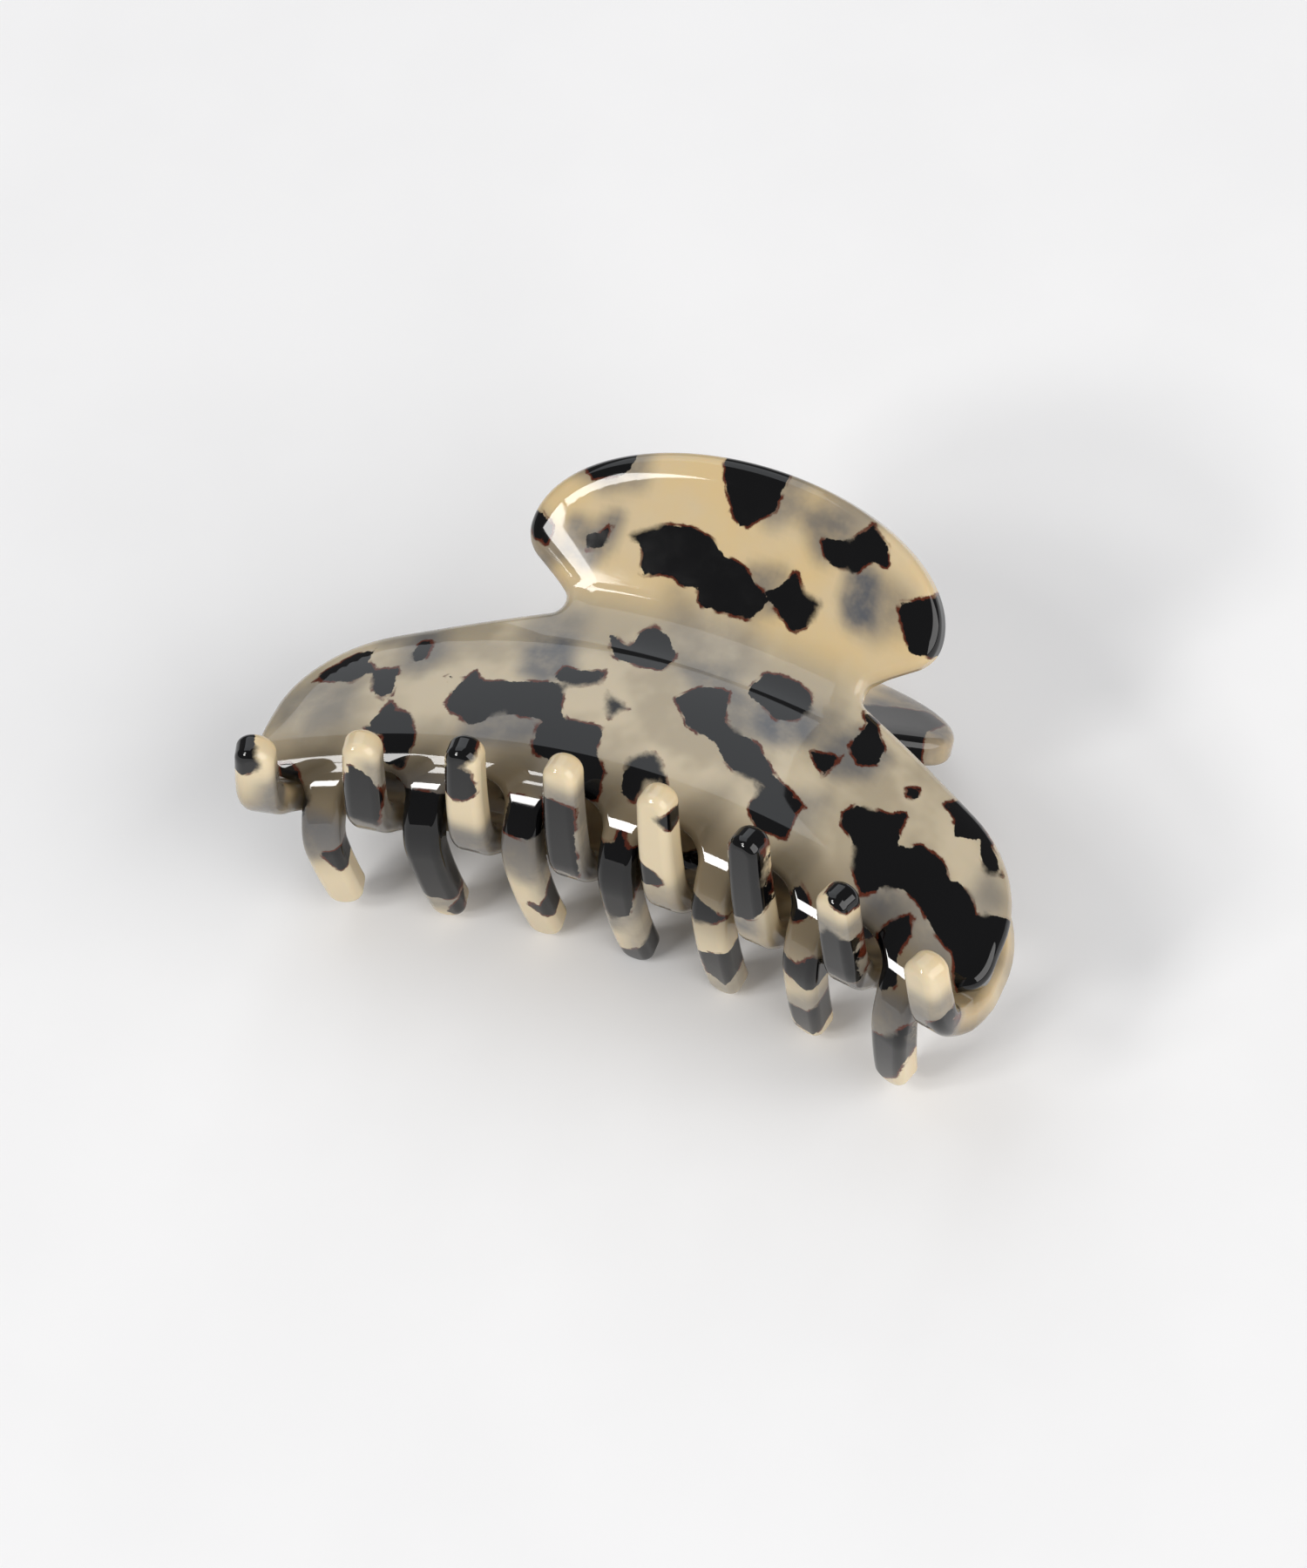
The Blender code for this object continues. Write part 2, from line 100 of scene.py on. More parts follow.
TOOTH_LEAN = 0.3
TOOTH_GATHER = 0.062
HINGE_BEHIND_BULGE = 12.0
REAR_TURN = math.radians(2.0)

# Sizes of the hinge, as in part.py
PIN_RADIUS = 1.1
RUNNING_CLEARANCE = 0.05
PART_GAP = 0.3
KNUCKLE_WALL = 1.6
LUG_WIDTH = 3.0
LUG_FOOT_START = 7.5
LUG_FOOT_END = 13.8
KNUCKLE_START = math.radians(20.0)
KNUCKLE_TURN = math.radians(220.0)
SPRING_HALF_LENGTH = 5.6
SPRING_WIRE_RADIUS = 0.45
SPRING_COILS = 9
SPRING_LEG = 13.0
SPRING_KNEE = 1.0
SPRING_KNEE_LIFT = 0.6
SPRING_BORE_GAP = 0.65
SPRING_SIDE_GAP = 1.1
PIN_HEAD_RADIUS = 2.2
PIN_HEAD_HEIGHT = 1.0
PIN_PROUD = 0.8
PIN_CHAMFER = 0.3
LUG_SUNK = 0.05
LUG_EDGE = 0.25

# Mesh fineness
ARC_STEP = math.radians(6.0)
EDGE_SPACING = 0.8
GRID_SPACING = 0.85
GRID_MARGIN = 0.45
ROUNDING_STEPS = 7
TAB_STEPS = 60
CLOSEST_POINTS = 0.08

# Faint roll of the polished faces down to their rims; it fades out over the shoulder, before the teeth
ROLL_WIDTH = 2.6
ROLL_SINK = 0.2
ROLL_START = -6.0
ROLL_END = 0.0

# Chips slant through the sheet, by this much in u and v for each millimetre of depth, and chips and clouds
# spread a little past their outlines
CHIP_SLANT = (0.18, -0.12)
CHIP_GROWTH = 0.15
CLOUD_GROWTH = 1.1
CLOUD_STRENGTH = 0.95

# Worked out from the sizes above
BACK_TURN = BACK_LENGTH / BACK_RADIUS
CREASE_END = BACK_LENGTH + CREASE_RADIUS * (BACK_TURN + TAB_ANGLE)
SHOULDER_LENGTH = SHOULDER_RADIUS * SHOULDER_TURN
CORNER_TURN = math.pi / 2 - SHOULDER_TURN
CORNER_LENGTH = CORNER_RADIUS * CORNER_TURN
SWEEP_SPAN = (FRONT_TEETH - 1) / 2 * TOOTH_PITCH
BOW = SWEEP * math.tan(TAB_ANGLE)
TAB_SWEEP = SWEEP / math.cos(TAB_ANGLE)
HALF_LENGTH = (REAR_TEETH - 1) / 2 * TOOTH_PITCH + PLATE_END_MARGIN
BULGE_HEIGHT = SHEET + END_OPENING + BOW * (HALF_LENGTH / SWEEP_SPAN) ** 2
ROOT_LINE = -GAP_TOP

# Place of the clip in the frame: the hinge, and the pitch at which it rests on the floor
HINGE = np.array(frame["joints"][0]["pos_m"]) / MM
TAB_NORMAL = frame["record"]["mounts"][0]["axis"]
PITCH = math.atan2(-TAB_NORMAL[1], TAB_NORMAL[2]) - TAB_ANGLE

# The tortoise pattern of the front jaw: outlines of the near-black chips, in blank coordinates
FRONT_TAB_CHIPS = [
    [(-4.6, 36.6), (-4.6, 40), (3.2, 40), (2.6, 33), (0.6, 31.2), (-0.5, 30.1), (-1.6, 31),
     (-3.4, 33.8)],
    [(9.2, 31.8), (10.4, 29.7), (14, 29.8), (15.2, 31.8), (17.4, 32), (16.6, 34), (14.4, 35.4),
     (12.6, 32.8)],
    [(20, 28.6), (24.3, 31.5), (27, 30), (27, 25.6), (22.8, 24.5)],
    [(-13.2, 26.3), (-9.4, 28.2), (-6, 28.4), (-3.2, 27.6), (-1.6, 26.1), (1.2, 25.7), (3, 24),
     (5, 22.8), (3.4, 20.4), (-2.6, 20.2), (-3.4, 22.3), (-5.4, 21.9), (-7, 23), (-10.6, 22.2),
     (-11, 25.2)],
    [(4.4, 23.8), (6, 24.8), (7.2, 27.1), (8.6, 25.2), (11, 25), (10.6, 22.6), (9, 20.8), (6.8, 22.2)],
    [(-17.6, 24), (-18.4, 25.6), (-16.6, 26), (-15.8, 27.2), (-16, 24.9)],
    [(-26.4, 28.4), (-24.2, 27.6), (-22.6, 26), (-22.8, 24.4), (-24.6, 25.4)],
    [(-21.5, 34.6), (-17, 37), (-15.2, 36.2), (-15.8, 33.4), (-19.4, 32.6)],
]
FRONT_PLATE_CHIPS = [
    [(-11.6, 14.6), (-9.8, 12.9), (-8.3, 12.7), (-8.1, 15.2), (-7.2, 16.4), (-4.6, 15.2), (-3, 13),
     (-3.4, 10.6), (-6, 10.2), (-9.2, 10.6), (-10.4, 12.2)],
    [(7, 12.2), (7.6, 14.8), (10, 15.3), (13.2, 14.9), (14.4, 12.4), (13.4, 10.2), (11.6, 9),
     (9.6, 10.2), (7.2, 10.8)],
    [(20.6, 10.2), (20.8, 13.6), (22, 14.8), (23.8, 12.8), (24.2, 10.2), (22.4, 8.6)],
    [(17.2, 6.9), (20.2, 8.1), (19.4, 4.8)],
    [(0, 6.8), (2, 9.6), (4.9, 10.3), (6.4, 5.6), (8.6, 4.9), (11, 4.6), (14.6, 1.6), (19.2, 0),
     (14, 0), (9.6, 0.4), (6.8, 2.8), (3, 3.6)],
    [(13.8, -0.4), (16, 0.2), (18.6, -0.8), (18.6, -4.4), (15.4, -4.8), (13.7, -3.4)],
    [(-25, 0), (-24.8, 3), (-23.8, 5.2), (-22.6, 3.6), (-18.8, 4.1), (-13, 4.9), (-12.4, 2.4),
     (-11.2, 0), (-6.4, 0), (-5.9, -1.2), (-6, -3), (-4, -5.2), (-3.8, -8.4), (-5.8, -8.8),
     (-8.2, -5.2), (-12.2, -4.8), (-13.2, -3), (-13, -0.4), (-18.4, -0.2), (-20.8, -2.4)],
    [(-14.2, 7.4), (-11.4, 7.2), (-9.4, 8.1), (-9.2, 6.2), (-12, 5), (-14.4, 5.4)],
    [(-7.6, 4.8), (-6.4, 4), (-4.4, 3.7), (-5.6, 2.9), (-6, 1.6), (-6.8, 3)],
    [(-1.6, -3), (0.6, -1.3), (1.8, -2), (3.6, -4.4), (1.2, -4.4), (0.4, -7.4), (-1.2, -6.6)],
    [(-42.4, 4.6), (-40, 7.6), (-37.6, 9.2), (-37.4, 7), (-36.2, 5.4), (-37.6, 3.6)],
    [(-35.8, 5.2), (-33, 5.4), (-32.2, 1.6), (-33.6, 1), (-34.8, 3)],
    [(-32.4, 8), (-32.2, 10.4), (-31.2, 10), (-30.6, 7.2), (-31.8, 6.6)],
    [(-33.2, -3.2), (-32.2, -1.6), (-31.6, 0.2), (-30.8, -1), (-28.4, -1.8), (-27, -4.8), (-27.2, -8),
     (-29.2, -7.6), (-30.4, -4.4)],
    [(23.7, 1.6), (24.6, 3.4), (28.2, 4.6), (29.8, 6.2), (30, 3), (30.8, 1.4), (33, 3.7), (36, 3.6),
     (37.2, 1.8), (38.6, 2.8), (40.6, 2), (41.4, 0.2), (43, 2), (46.5, 4), (47, -4), (44, -9),
     (42.2, -7), (41.2, -4.6), (38.2, -4), (35.6, -2.4), (33.2, -2), (31, -3.2), (29, -5.4), (27, -3.2),
     (26.2, -0.6), (24.2, 0.2)],
    [(33, 10.4), (34.2, 12.4), (36.8, 11.8), (39.4, 10.2), (35.6, 7.6), (34.9, 9.8)],
    [(38.8, 9.6), (40.2, 9.4), (42, 7.4), (40.6, 6.2), (39.2, 7.6)],
    [(28.5, 9), (29.5, 10.2), (30.1, 8.8), (29.2, 8.3)],
    [(-26.8, 4), (-26.2, 4.4), (-26, 3.8)],
    [(20.2, 15.6), (21.2, 14.6), (22, 15.8)],
]
FRONT_TOOTH_CHIPS = [
    [(-36, -19.4), (-32, -19.2), (-32.4, -22.6), (-34.6, -23), (-35.4, -21)],
    [(-41.6, -7), (-39.8, -8), (-37.4, -12), (-38.4, -14.4), (-40, -11.4)],
    [(-27, -10.6), (-20.6, -11.2), (-20.2, -24), (-21.4, -29.6), (-25.6, -29), (-26.6, -20)],
    [(-22.8, -31.6), (-21.4, -30.6), (-22, -34), (-24, -33.6)],
    [(-13.6, -10), (-10, -10), (-9.4, -14), (-11, -15), (-13.8, -14.4)],
    [(-12.2, -27.2), (-10.6, -28), (-8, -23.6), (-7.4, -28), (-9.4, -31.2), (-11.2, -29.2)],
    [(-2.6, -13.2), (-0.4, -12.8), (0.2, -10.4), (1.2, -13), (3.2, -12.4), (3.2, -17), (2.2, -20),
     (1.4, -23.6), (-1, -25.8), (-2, -21)],
    [(-1.6, -35), (0.4, -33.8), (3.4, -30.6), (3.6, -36), (1, -38.6), (-1.4, -38)],
    [(9.8, -15.2), (14.4, -16.8), (10.6, -19), (9.6, -17.6)],
    [(10.4, -26), (13.6, -24.2), (16, -24.6), (15.4, -29), (13, -32.8), (11.2, -31)],
    [(21.6, -8), (23.8, -9.6), (24, -11), (22.2, -12.4), (21.4, -11)],
    [(21.8, -16.8), (24, -17.6), (25.8, -15.2), (27.6, -16), (27.4, -19.6), (25, -21), (22, -19)],
    [(22.2, -27.4), (25, -27), (28.4, -22.6), (28, -28.8), (25.2, -33.2), (23, -33)],
    [(32.4, -8), (33.2, -6.4), (35.2, -4.2), (35.6, -6), (34.8, -8.6), (36, -11.6), (34.6, -13.4),
     (33, -12.6)],
    [(34, -20.8), (36.4, -19), (38.4, -16), (39, -21), (37, -28), (35, -31.4), (34, -27)],
]

# The rear jaw's pattern. Its plate is cut from the same sheet as the front one, turned over.
REAR_TAB_CHIPS = [
    [(14.4, 25.2), (17.6, 28), (21.2, 30.8), (23.8, 29.4), (23, 24.6), (24, 20.6), (19.4, 20.2)],
    [(22.2, 20.4), (24.6, 20.8), (26.4, 19), (23, 17.8)],
]
REAR_TOOTH_CHIPS = [
    [(-45, -25.4), (-43.2, -24.6), (-41.4, -26.4), (-42, -29.4), (-45, -29.4)],
    [(-32.4, -19.6), (-28.6, -18.8), (-27.6, -24), (-29, -28.4), (-31, -29.4), (-32, -25)],
    [(-20.2, -28.6), (-18.4, -27.2), (-16.2, -29.4), (-17, -32.6), (-18.2, -33.4), (-16.4, -34.6),
     (-17, -39), (-20, -39), (-19.6, -33)],
    [(-8.4, -19), (-4.4, -18), (-4.2, -31), (-7.8, -31.8), (-8.2, -26)],
    [(3.8, -21.8), (6.4, -22.4), (7, -23.4), (5.4, -25), (4, -25.4)],
    [(6.6, -34), (8.4, -32.2), (9, -34.8)],
    [(15.6, -22), (18.6, -22.8), (20.6, -25), (20.4, -33), (19.4, -38), (17.2, -37), (16.2, -30)],
    [(28, -19), (32.4, -18.4), (32.4, -26), (30, -27.6), (28.2, -25.6)],
    [(28.6, -33.2), (30.6, -32), (33.4, -30.4), (33.6, -36), (29.6, -36)],
    [(41.8, -15), (44.6, -15), (44.8, -20.6), (43, -19.4)],
]

# Soft grey clouds, from chips deep in the sheet: (strength, softness of the edge, outline)
FRONT_CLOUDS = [
    (0.85, 1.2, [(-20, 27), (-17.8, 26.2), (-15.6, 28), (-15.8, 25), (-17.4, 22.4), (-19.6, 23.6)]),
    (0.75, 1.6, [(-21, 33.6), (-16.6, 36.4), (-14.6, 35.6), (-14.2, 32.8), (-17.6, 32)]),
    (0.7, 1.6, [(2, 38.6), (5.4, 38.2), (4.4, 33.4), (2.6, 32), (1.4, 33)]),
    (0.8, 1.5, [(6.6, 33.6), (10.8, 34.2), (12.4, 32), (9.6, 30.2)]),
    (0.6, 2.0, [(8, 37), (14, 36.4), (13.4, 34.4), (8.4, 35)]),
    (0.95, 1.1, [(14, 29.4), (15.8, 30), (16.8, 25.6), (15.2, 24.8), (14.2, 26.6)]),
    (0.65, 2.0, [(15.6, 30.4), (20.4, 29.6), (20.6, 26.8), (18, 24.6), (15.6, 24.8)]),
    (0.8, 1.3, [(2.6, 25.4), (5.4, 26.2), (5.6, 22.6), (3.4, 21.6)]),
    (0.7, 1.4, [(-24.8, 27), (-22.8, 25.8), (-21, 23.2), (-22.6, 21.8), (-24.6, 24)]),
    (0.45, 2.2, [(-6, 21), (-2, 19.2), (4, 18.4), (6, 14), (1, 12), (-3, 13), (-5, 17)]),
    (0.9, 1.4, [(-18.6, 9.4), (-16.2, 11.4), (-14.8, 9), (-13.4, 6.8), (-15.6, 5.4), (-18, 6.4)]),
    (0.6, 2.0, [(-20, 16), (-16, 15.6), (-15, 11), (-18.6, 10), (-20.6, 12.6)]),
    (0.7, 1.6, [(-32.6, 11), (-30.6, 10.6), (-29.4, 8), (-30.4, 5.6), (-32, 6.4)]),
    (0.55, 1.6, [(-36.4, 10.6), (-33.4, 12.4), (-31.8, 12), (-33.4, 9.6)]),
    (0.6, 2.0, [(-44.6, 1.6), (-41, 3.6), (-37.4, 2.6), (-36.6, -1.6), (-39.8, -3.2), (-41.4, 0),
                (-43.4, -1.4)]),
    (0.8, 1.5, [(-20.6, -0.8), (-17.6, 1), (-13.4, 0), (-12.8, -2.4), (-17, -3.4), (-21, -4)]),
    (0.5, 2.0, [(-11, -4.6), (-6, -4.8), (-5, -8), (-10, -8.6)]),
    (0.65, 1.6, [(-0.6, 11.4), (3.4, 12.6), (5.4, 10.4), (1.8, 9)]),
    (0.7, 1.6, [(5.4, 9.8), (9, 11), (12.4, 9.6), (11.6, 6.6), (8.6, 5.4), (6.6, 6.8)]),
    (0.85, 1.3, [(10.6, 10.4), (14.4, 11.2), (15.4, 8.4), (12.4, 6.4), (10.4, 7.8)]),
    (0.8, 1.3, [(18.6, 8.4), (20.8, 12.6), (24.4, 11.4), (23.4, 8.2), (20.4, 6.2)]),
    (0.5, 1.8, [(14.6, 12.6), (17.6, 13.4), (18.4, 10.4), (15.2, 9.6)]),
    (0.6, 1.8, [(17.6, 0), (20.6, 1.6), (20, -1.6), (18.4, -2.4)]),
    (0.6, 1.8, [(31.6, -3), (36.4, -1.8), (40.6, -3.4), (40.2, -6), (35.6, -6), (31, -5.4)]),
    (0.55, 1.6, [(41.2, 5.6), (43, 4.4), (42.4, 1.4), (40.8, 2.6)]),
    (0.5, 1.8, [(28.6, -3.4), (31.4, -3.4), (32, -7), (29.4, -8)]),
    (0.8, 1.4, [(-38.6, -13.6), (-34.6, -15.4), (-32.6, -18.6), (-37.6, -19.6)]),
    (0.75, 1.6, [(-26.6, -28.6), (-21.6, -28), (-22, -32.6), (-26, -31.4)]),
    (0.7, 1.6, [(-14.6, -14.6), (-9.6, -14.6), (-9.6, -20.6), (-11.4, -21.6), (-14, -18.6)]),
    (0.6, 1.5, [(-9.6, -22), (-7, -20), (-7.6, -30), (-9.4, -29)]),
    (0.75, 1.6, [(-3.4, -19), (3.4, -18), (2.6, -24), (-1.2, -28), (-3, -26)]),
    (0.6, 1.6, [(1.6, -29), (3.8, -26), (4, -35), (1.4, -34)]),
    (0.6, 1.5, [(11, -32), (14.6, -31), (13.8, -35), (11, -36)]),
    (0.65, 1.5, [(21.6, -26.6), (28.4, -21.6), (28.6, -25), (24, -29)]),
    (0.7, 1.5, [(33.6, -14.6), (39, -13.4), (39, -18), (35, -20.6), (33.4, -18.6)]),
    (0.6, 1.8, [(-28.6, -9.6), (-21, -9.6), (-21.6, -12.4), (-28, -12.4)]),
]
REAR_CLOUDS = [
    (0.75, 1.4, [(-41.6, -17), (-38, -18), (-38.4, -24.4), (-40.4, -22.6)]),
    (0.75, 1.5, [(-32.6, -18), (-27, -16), (-27, -28.6), (-28.8, -29.6), (-30, -24)]),
    (0.8, 1.6, [(-20.6, -16), (-15, -16), (-15.2, -21), (-20, -21.6)]),
    (0.8, 1.5, [(-8.8, -16), (-3.4, -16), (-3.8, -32.4), (-8.6, -33)]),
    (0.4, 1.5, [(3, -16), (8.6, -16), (8, -21.6), (3.6, -22.6)]),
    (0.85, 1.4, [(14.8, -20), (18.6, -20.6), (18.6, -36), (20.8, -37), (19, -40), (15.6, -38)]),
    (0.8, 1.5, [(27, -16), (33, -16), (33, -28), (28, -28.6)]),
    (0.7, 1.6, [(39, -15), (46, -15), (46, -22.6), (40, -23)]),
    (0.7, 1.6, [(14, 29), (20, 33), (26, 32), (24, 27), (15, 24)]),
]


def section(v, tab_angle):
    """Outer face of a jaw's middle section at blank positions v: (y, z), with the tab at +v."""
    back = np.clip(v, 0, BACK_LENGTH) / BACK_RADIUS
    crease = np.clip((v - BACK_LENGTH) / CREASE_RADIUS, 0, BACK_TURN + tab_angle) - BACK_TURN
    flat = np.maximum(v - BACK_LENGTH - CREASE_RADIUS * (BACK_TURN + tab_angle), 0)
    shoulder = np.clip(-v, 0, SHOULDER_LENGTH) / SHOULDER_RADIUS
    corner = SHOULDER_TURN + np.clip((-v - SHOULDER_LENGTH) / CORNER_RADIUS, 0, CORNER_TURN)
    tooth = np.maximum(-v - SHOULDER_LENGTH - CORNER_LENGTH, 0) / TOOTH_RADIUS
    y = BACK_RADIUS * np.sin(back) + CREASE_RADIUS * (math.sin(BACK_TURN) + np.sin(crease))
    y += flat * math.cos(tab_angle) - SHOULDER_RADIUS * np.sin(shoulder)
    y += CORNER_RADIUS * (math.sin(SHOULDER_TURN) - np.sin(corner)) + TOOTH_RADIUS * (1 - np.cos(tooth))
    z = BULGE_HEIGHT - BACK_RADIUS * (1 - np.cos(back))
    z += CREASE_RADIUS * (math.cos(BACK_TURN) - np.cos(crease))
    z += flat * math.sin(tab_angle) - SHOULDER_RADIUS * (1 - np.cos(shoulder))
    z += CORNER_RADIUS * (np.cos(corner) - math.cos(SHOULDER_TURN)) - TOOTH_RADIUS * np.sin(tooth)
    return y, z


def face_points(u, v, tab_angle):
    """Outer face of a formed jaw at blank positions, tab up, with the hinge axis along y = z = 0."""
    spread = (u / SWEEP_SPAN) ** 2
    along_tooth = np.clip((ROOT_LINE - v) / TOOTH_LENGTH, 0, 1)
    y, z = section(v, tab_angle)
    x = u * (1 - TOOTH_GATHER * along_tooth)
    y = y + TOOTH_LEAN * spread * along_tooth - SWEEP * spread - HINGE_BEHIND_BULGE
    return np.stack([x, y, z - BOW * spread], axis=-1)


def formed(blank, side):
    """Frame points of blank points (u, v, depth): side +1 is the front jaw, -1 the rear jaw below it."""
    u, v, depth = blank.T
    tab_angle = TAB_ANGLE if side > 0 else REAR_TAB_ANGLE
    step = 0.05
    along_u = face_points(u + step, v, tab_angle) - face_points(u - step, v, tab_angle)
    along_v = face_points(u, v + step, tab_angle) - face_points(u, v - step, tab_angle)
    normal = np.cross(along_u, along_v)
    normal /= np.linalg.norm(normal, axis=1, keepdims=True)
    points = face_points(u, v, tab_angle) - normal * depth[:, None]
    return in_frame(points, side)


def in_frame(points, side):
    """Points about the hinge, mirrored and turned for the rear jaw, and then set at the clip's place."""
    placed = points.copy()
    if side < 0:
        c = math.cos(REAR_TURN)
        s = math.sin(REAR_TURN)
        placed[:, 1] = points[:, 1] * c - points[:, 2] * s
        placed[:, 2] = -points[:, 2] * c - points[:, 1] * s
    pitch = np.array(Matrix.Rotation(PITCH, 3, "X"))
    return placed @ pitch.T + HINGE


def rounded(corners):
    """Open path through the corners (u, v, radius), each rounded with its radius."""
    path = [Vector(corners[0][:2])]
    for before, corner, after in zip(corners, corners[1:], corners[2:]):
        tip = Vector(corner[:2])
        into = (tip - Vector(before[:2])).normalized()
        out = (Vector(after[:2]) - tip).normalized()
        turn = math.atan2(into.x * out.y - into.y * out.x, into.dot(out))
        radius = corner[2]
        if radius <= 0 or abs(turn) < math.radians(1):
            path.append(tip)
            continue
        side = math.copysign(1.0, turn)
        start = tip - into * radius * math.tan(abs(turn) / 2)
        centre = start + Vector((-into.y, into.x)) * radius * side
        steps = max(2, math.ceil(abs(turn) / ARC_STEP))
        arm = start - centre
        for index in range(steps + 1):
            angle = turn * index / steps
            c = math.cos(angle)
            s = math.sin(angle)
            path.append(centre + Vector((arm.x * c - arm.y * s, arm.x * s + arm.y * c)))
    path.append(Vector(corners[-1][:2]))
    return path


def tab_half():
    """Right half of the finger tab's edge in the blank, from the middle of its end to the neck."""
    tab_middle = CREASE_END + TAB_FROM_CREASE
    slope = TAB_ANGLE
    corner_drop = TAB_CORNER_RADIUS * math.tan((math.pi / 2 - slope) / 2)
    flat = []
    for index in range(TAB_STEPS + 1):
        angle = math.pi / 2 * (1 - index / TAB_STEPS)
        flat.append((TAB_HALF_WIDTH * math.cos(angle), TAB_RISE * math.sin(angle), 0))
    flat.append((TAB_HALF_WIDTH, -corner_drop, TAB_CORNER_RADIUS))
    run = TAB_HALF_WIDTH - NECK_HALF_WIDTH - NECK_RADIUS
    flat.append((TAB_HALF_WIDTH - run, -corner_drop - run * math.tan(slope), 0))
    half = []
    for point in rounded(flat):
        swept = TAB_SWEEP * (point.x / SWEEP_SPAN) ** 2
        half.append((point.x, tab_middle + point.y + swept, 0))
    return half


def half_outline(teeth, trim):
    """Right half of a blank's edge, from the middle of the tab's end to the middle of the tooth side."""
    half = tab_half()
    last = half[-1]
    previous = half[-2]
    slope = (last[1] - previous[1]) / (last[0] - previous[0])
    neck_u = NECK_HALF_WIDTH - NECK_RADIUS * 1.2
    neck_v = last[1] - slope * (last[0] - neck_u)
    end_top = neck_v - PLATE_TOP_SLOPE * (HALF_LENGTH - neck_u)
    half.append((neck_u, neck_v, NECK_RADIUS))
    half.append((HALF_LENGTH, end_top, PLATE_END_RADIUS))
    root = TOOTH_ROOT_WIDTH / 2
    tip = TOOTH_TIP_WIDTH / 2
    centres = [(index - (teeth - 1) / 2) * TOOTH_PITCH for index in range(teeth)]
    centres = [centre for centre in reversed(centres) if centre > -TOOTH_PITCH / 4]
    free_end = HALF_LENGTH - centres[0] - root
    if free_end > TOOTH_PITCH / 3:
        half.append((HALF_LENGTH, ROOT_LINE + FREE_END_RISE, FREE_END_RADIUS))
        half.append((HALF_LENGTH - free_end / 2, ROOT_LINE, FREE_ROOT_RADIUS))
        half.append((centres[0] + root, ROOT_LINE - FREE_ROOT_DROP, FREE_ROOT_DROP))
    else:
        half.append((HALF_LENGTH, ROOT_LINE + TOOTHED_END_RISE, TOOTHED_END_RADIUS))
        half.append((centres[0] + root, ROOT_LINE - FLANK_DROP, FLANK_RADIUS))
    gap_radius = (TOOTH_PITCH - TOOTH_ROOT_WIDTH) / 2 * ROUND_SHARE
    tip_radius = tip * ROUND_SHARE
    for index, centre in enumerate(centres):
        spread = (centre / SWEEP_SPAN) ** 2
        end = ROOT_LINE - TOOTH_LENGTH + END_TOOTH_SHORTENING * spread + trim
        half.append((centre + tip, end, tip_radius))
        if centre > TOOTH_PITCH / 4:
            half.append((centre - tip, end, tip_radius))
            half.append((centre - root, ROOT_LINE, gap_radius))
        if index + 1 < len(centres):
            half.append((centres[index + 1] + root, ROOT_LINE, gap_radius))
    return half


def outline(teeth, trim):
    """Closed edge of a blank as points in order, clockwise, no further apart than EDGE_SPACING."""
    right = half_outline(teeth, trim)
    left = [(-u, v, radius) for u, v, radius in reversed(right[1:])]
    path = rounded(right + left + [right[0]])
    kept = [path[0]]
    for point in path[1:]:
        gap = point - kept[-1]
        if gap.length <= CLOSEST_POINTS:
            continue
        pieces = math.ceil(gap.length / EDGE_SPACING)
        start = kept[-1]
        for index in range(1, pieces + 1):
            kept.append(start + gap * index / pieces)
    if (kept[-1] - kept[0]).length < CLOSEST_POINTS * 2:
        kept.pop()
    return np.array(kept)


def inward(points):
    """Inward normals of a closed clockwise path, as long as keeps the inset edges parallel."""
    ahead = np.roll(points, -1, axis=0) - points
    ahead /= np.linalg.norm(ahead, axis=1, keepdims=True)
    behind = np.roll(ahead, 1, axis=0)
    mean = ahead + behind
    mean /= np.linalg.norm(mean, axis=1, keepdims=True)
    stretch = np.maximum((mean * ahead).sum(axis=1), 0.5)
    return np.stack([mean[:, 1], -mean[:, 0]], axis=1) / stretch[:, None]


def distance_to(points, corners):
    """Distance from each point to a closed outline, negative inside it."""
    corners = np.array(corners, float)
    nearest = np.full(len(points), np.inf)
    inside = np.zeros(len(points), bool)
    for start, end in zip(corners, np.roll(corners, -1, axis=0)):
        edge = end - start
        along = np.clip((points - start) @ edge / (edge @ edge), 0, 1)
        gap = points - start - along[:, None] * edge
        nearest = np.minimum(nearest, np.hypot(gap[:, 0], gap[:, 1]))
        if edge[1] == 0:
            continue
        crossed = (start[1] > points[:, 1]) != (end[1] > points[:, 1])
        meets = start[0] + (points[:, 1] - start[1]) * edge[0] / edge[1]
        inside ^= crossed & (points[:, 0] < meets)
    return np.where(inside, -nearest, nearest)


def face_grid(edge):
    """Points inside a closed edge on an even grid, and the triangles that join them to the edge."""
    low = edge.min(axis=0)
    high = edge.max(axis=0)
    columns = np.arange(-math.floor(-low[0] / GRID_SPACING), math.floor(high[0] / GRID_SPACING) + 1)
    rows = np.arange(math.ceil(low[1] / GRID_SPACING), math.floor(high[1] / GRID_SPACING) + 1)
    u, v = np.meshgrid(columns * GRID_SPACING, rows * GRID_SPACING)
    grid = np.stack([u.ravel(), v.ravel()], axis=1)
    grid = grid[distance_to(grid, edge) < -GRID_MARGIN]
    count = len(edge)
    points = [Vector(point) for point in np.vstack([edge, grid])]
    rim = [(index, (index + 1) % count) for index in range(count)]
    made = geometry.delaunay_2d_cdt(points, rim, [list(range(count))], 1, 1e-6)
    triangles = []
    for face in made[2]:
        triangles.append([made[3][corner][0] for corner in face])
    return grid, triangles


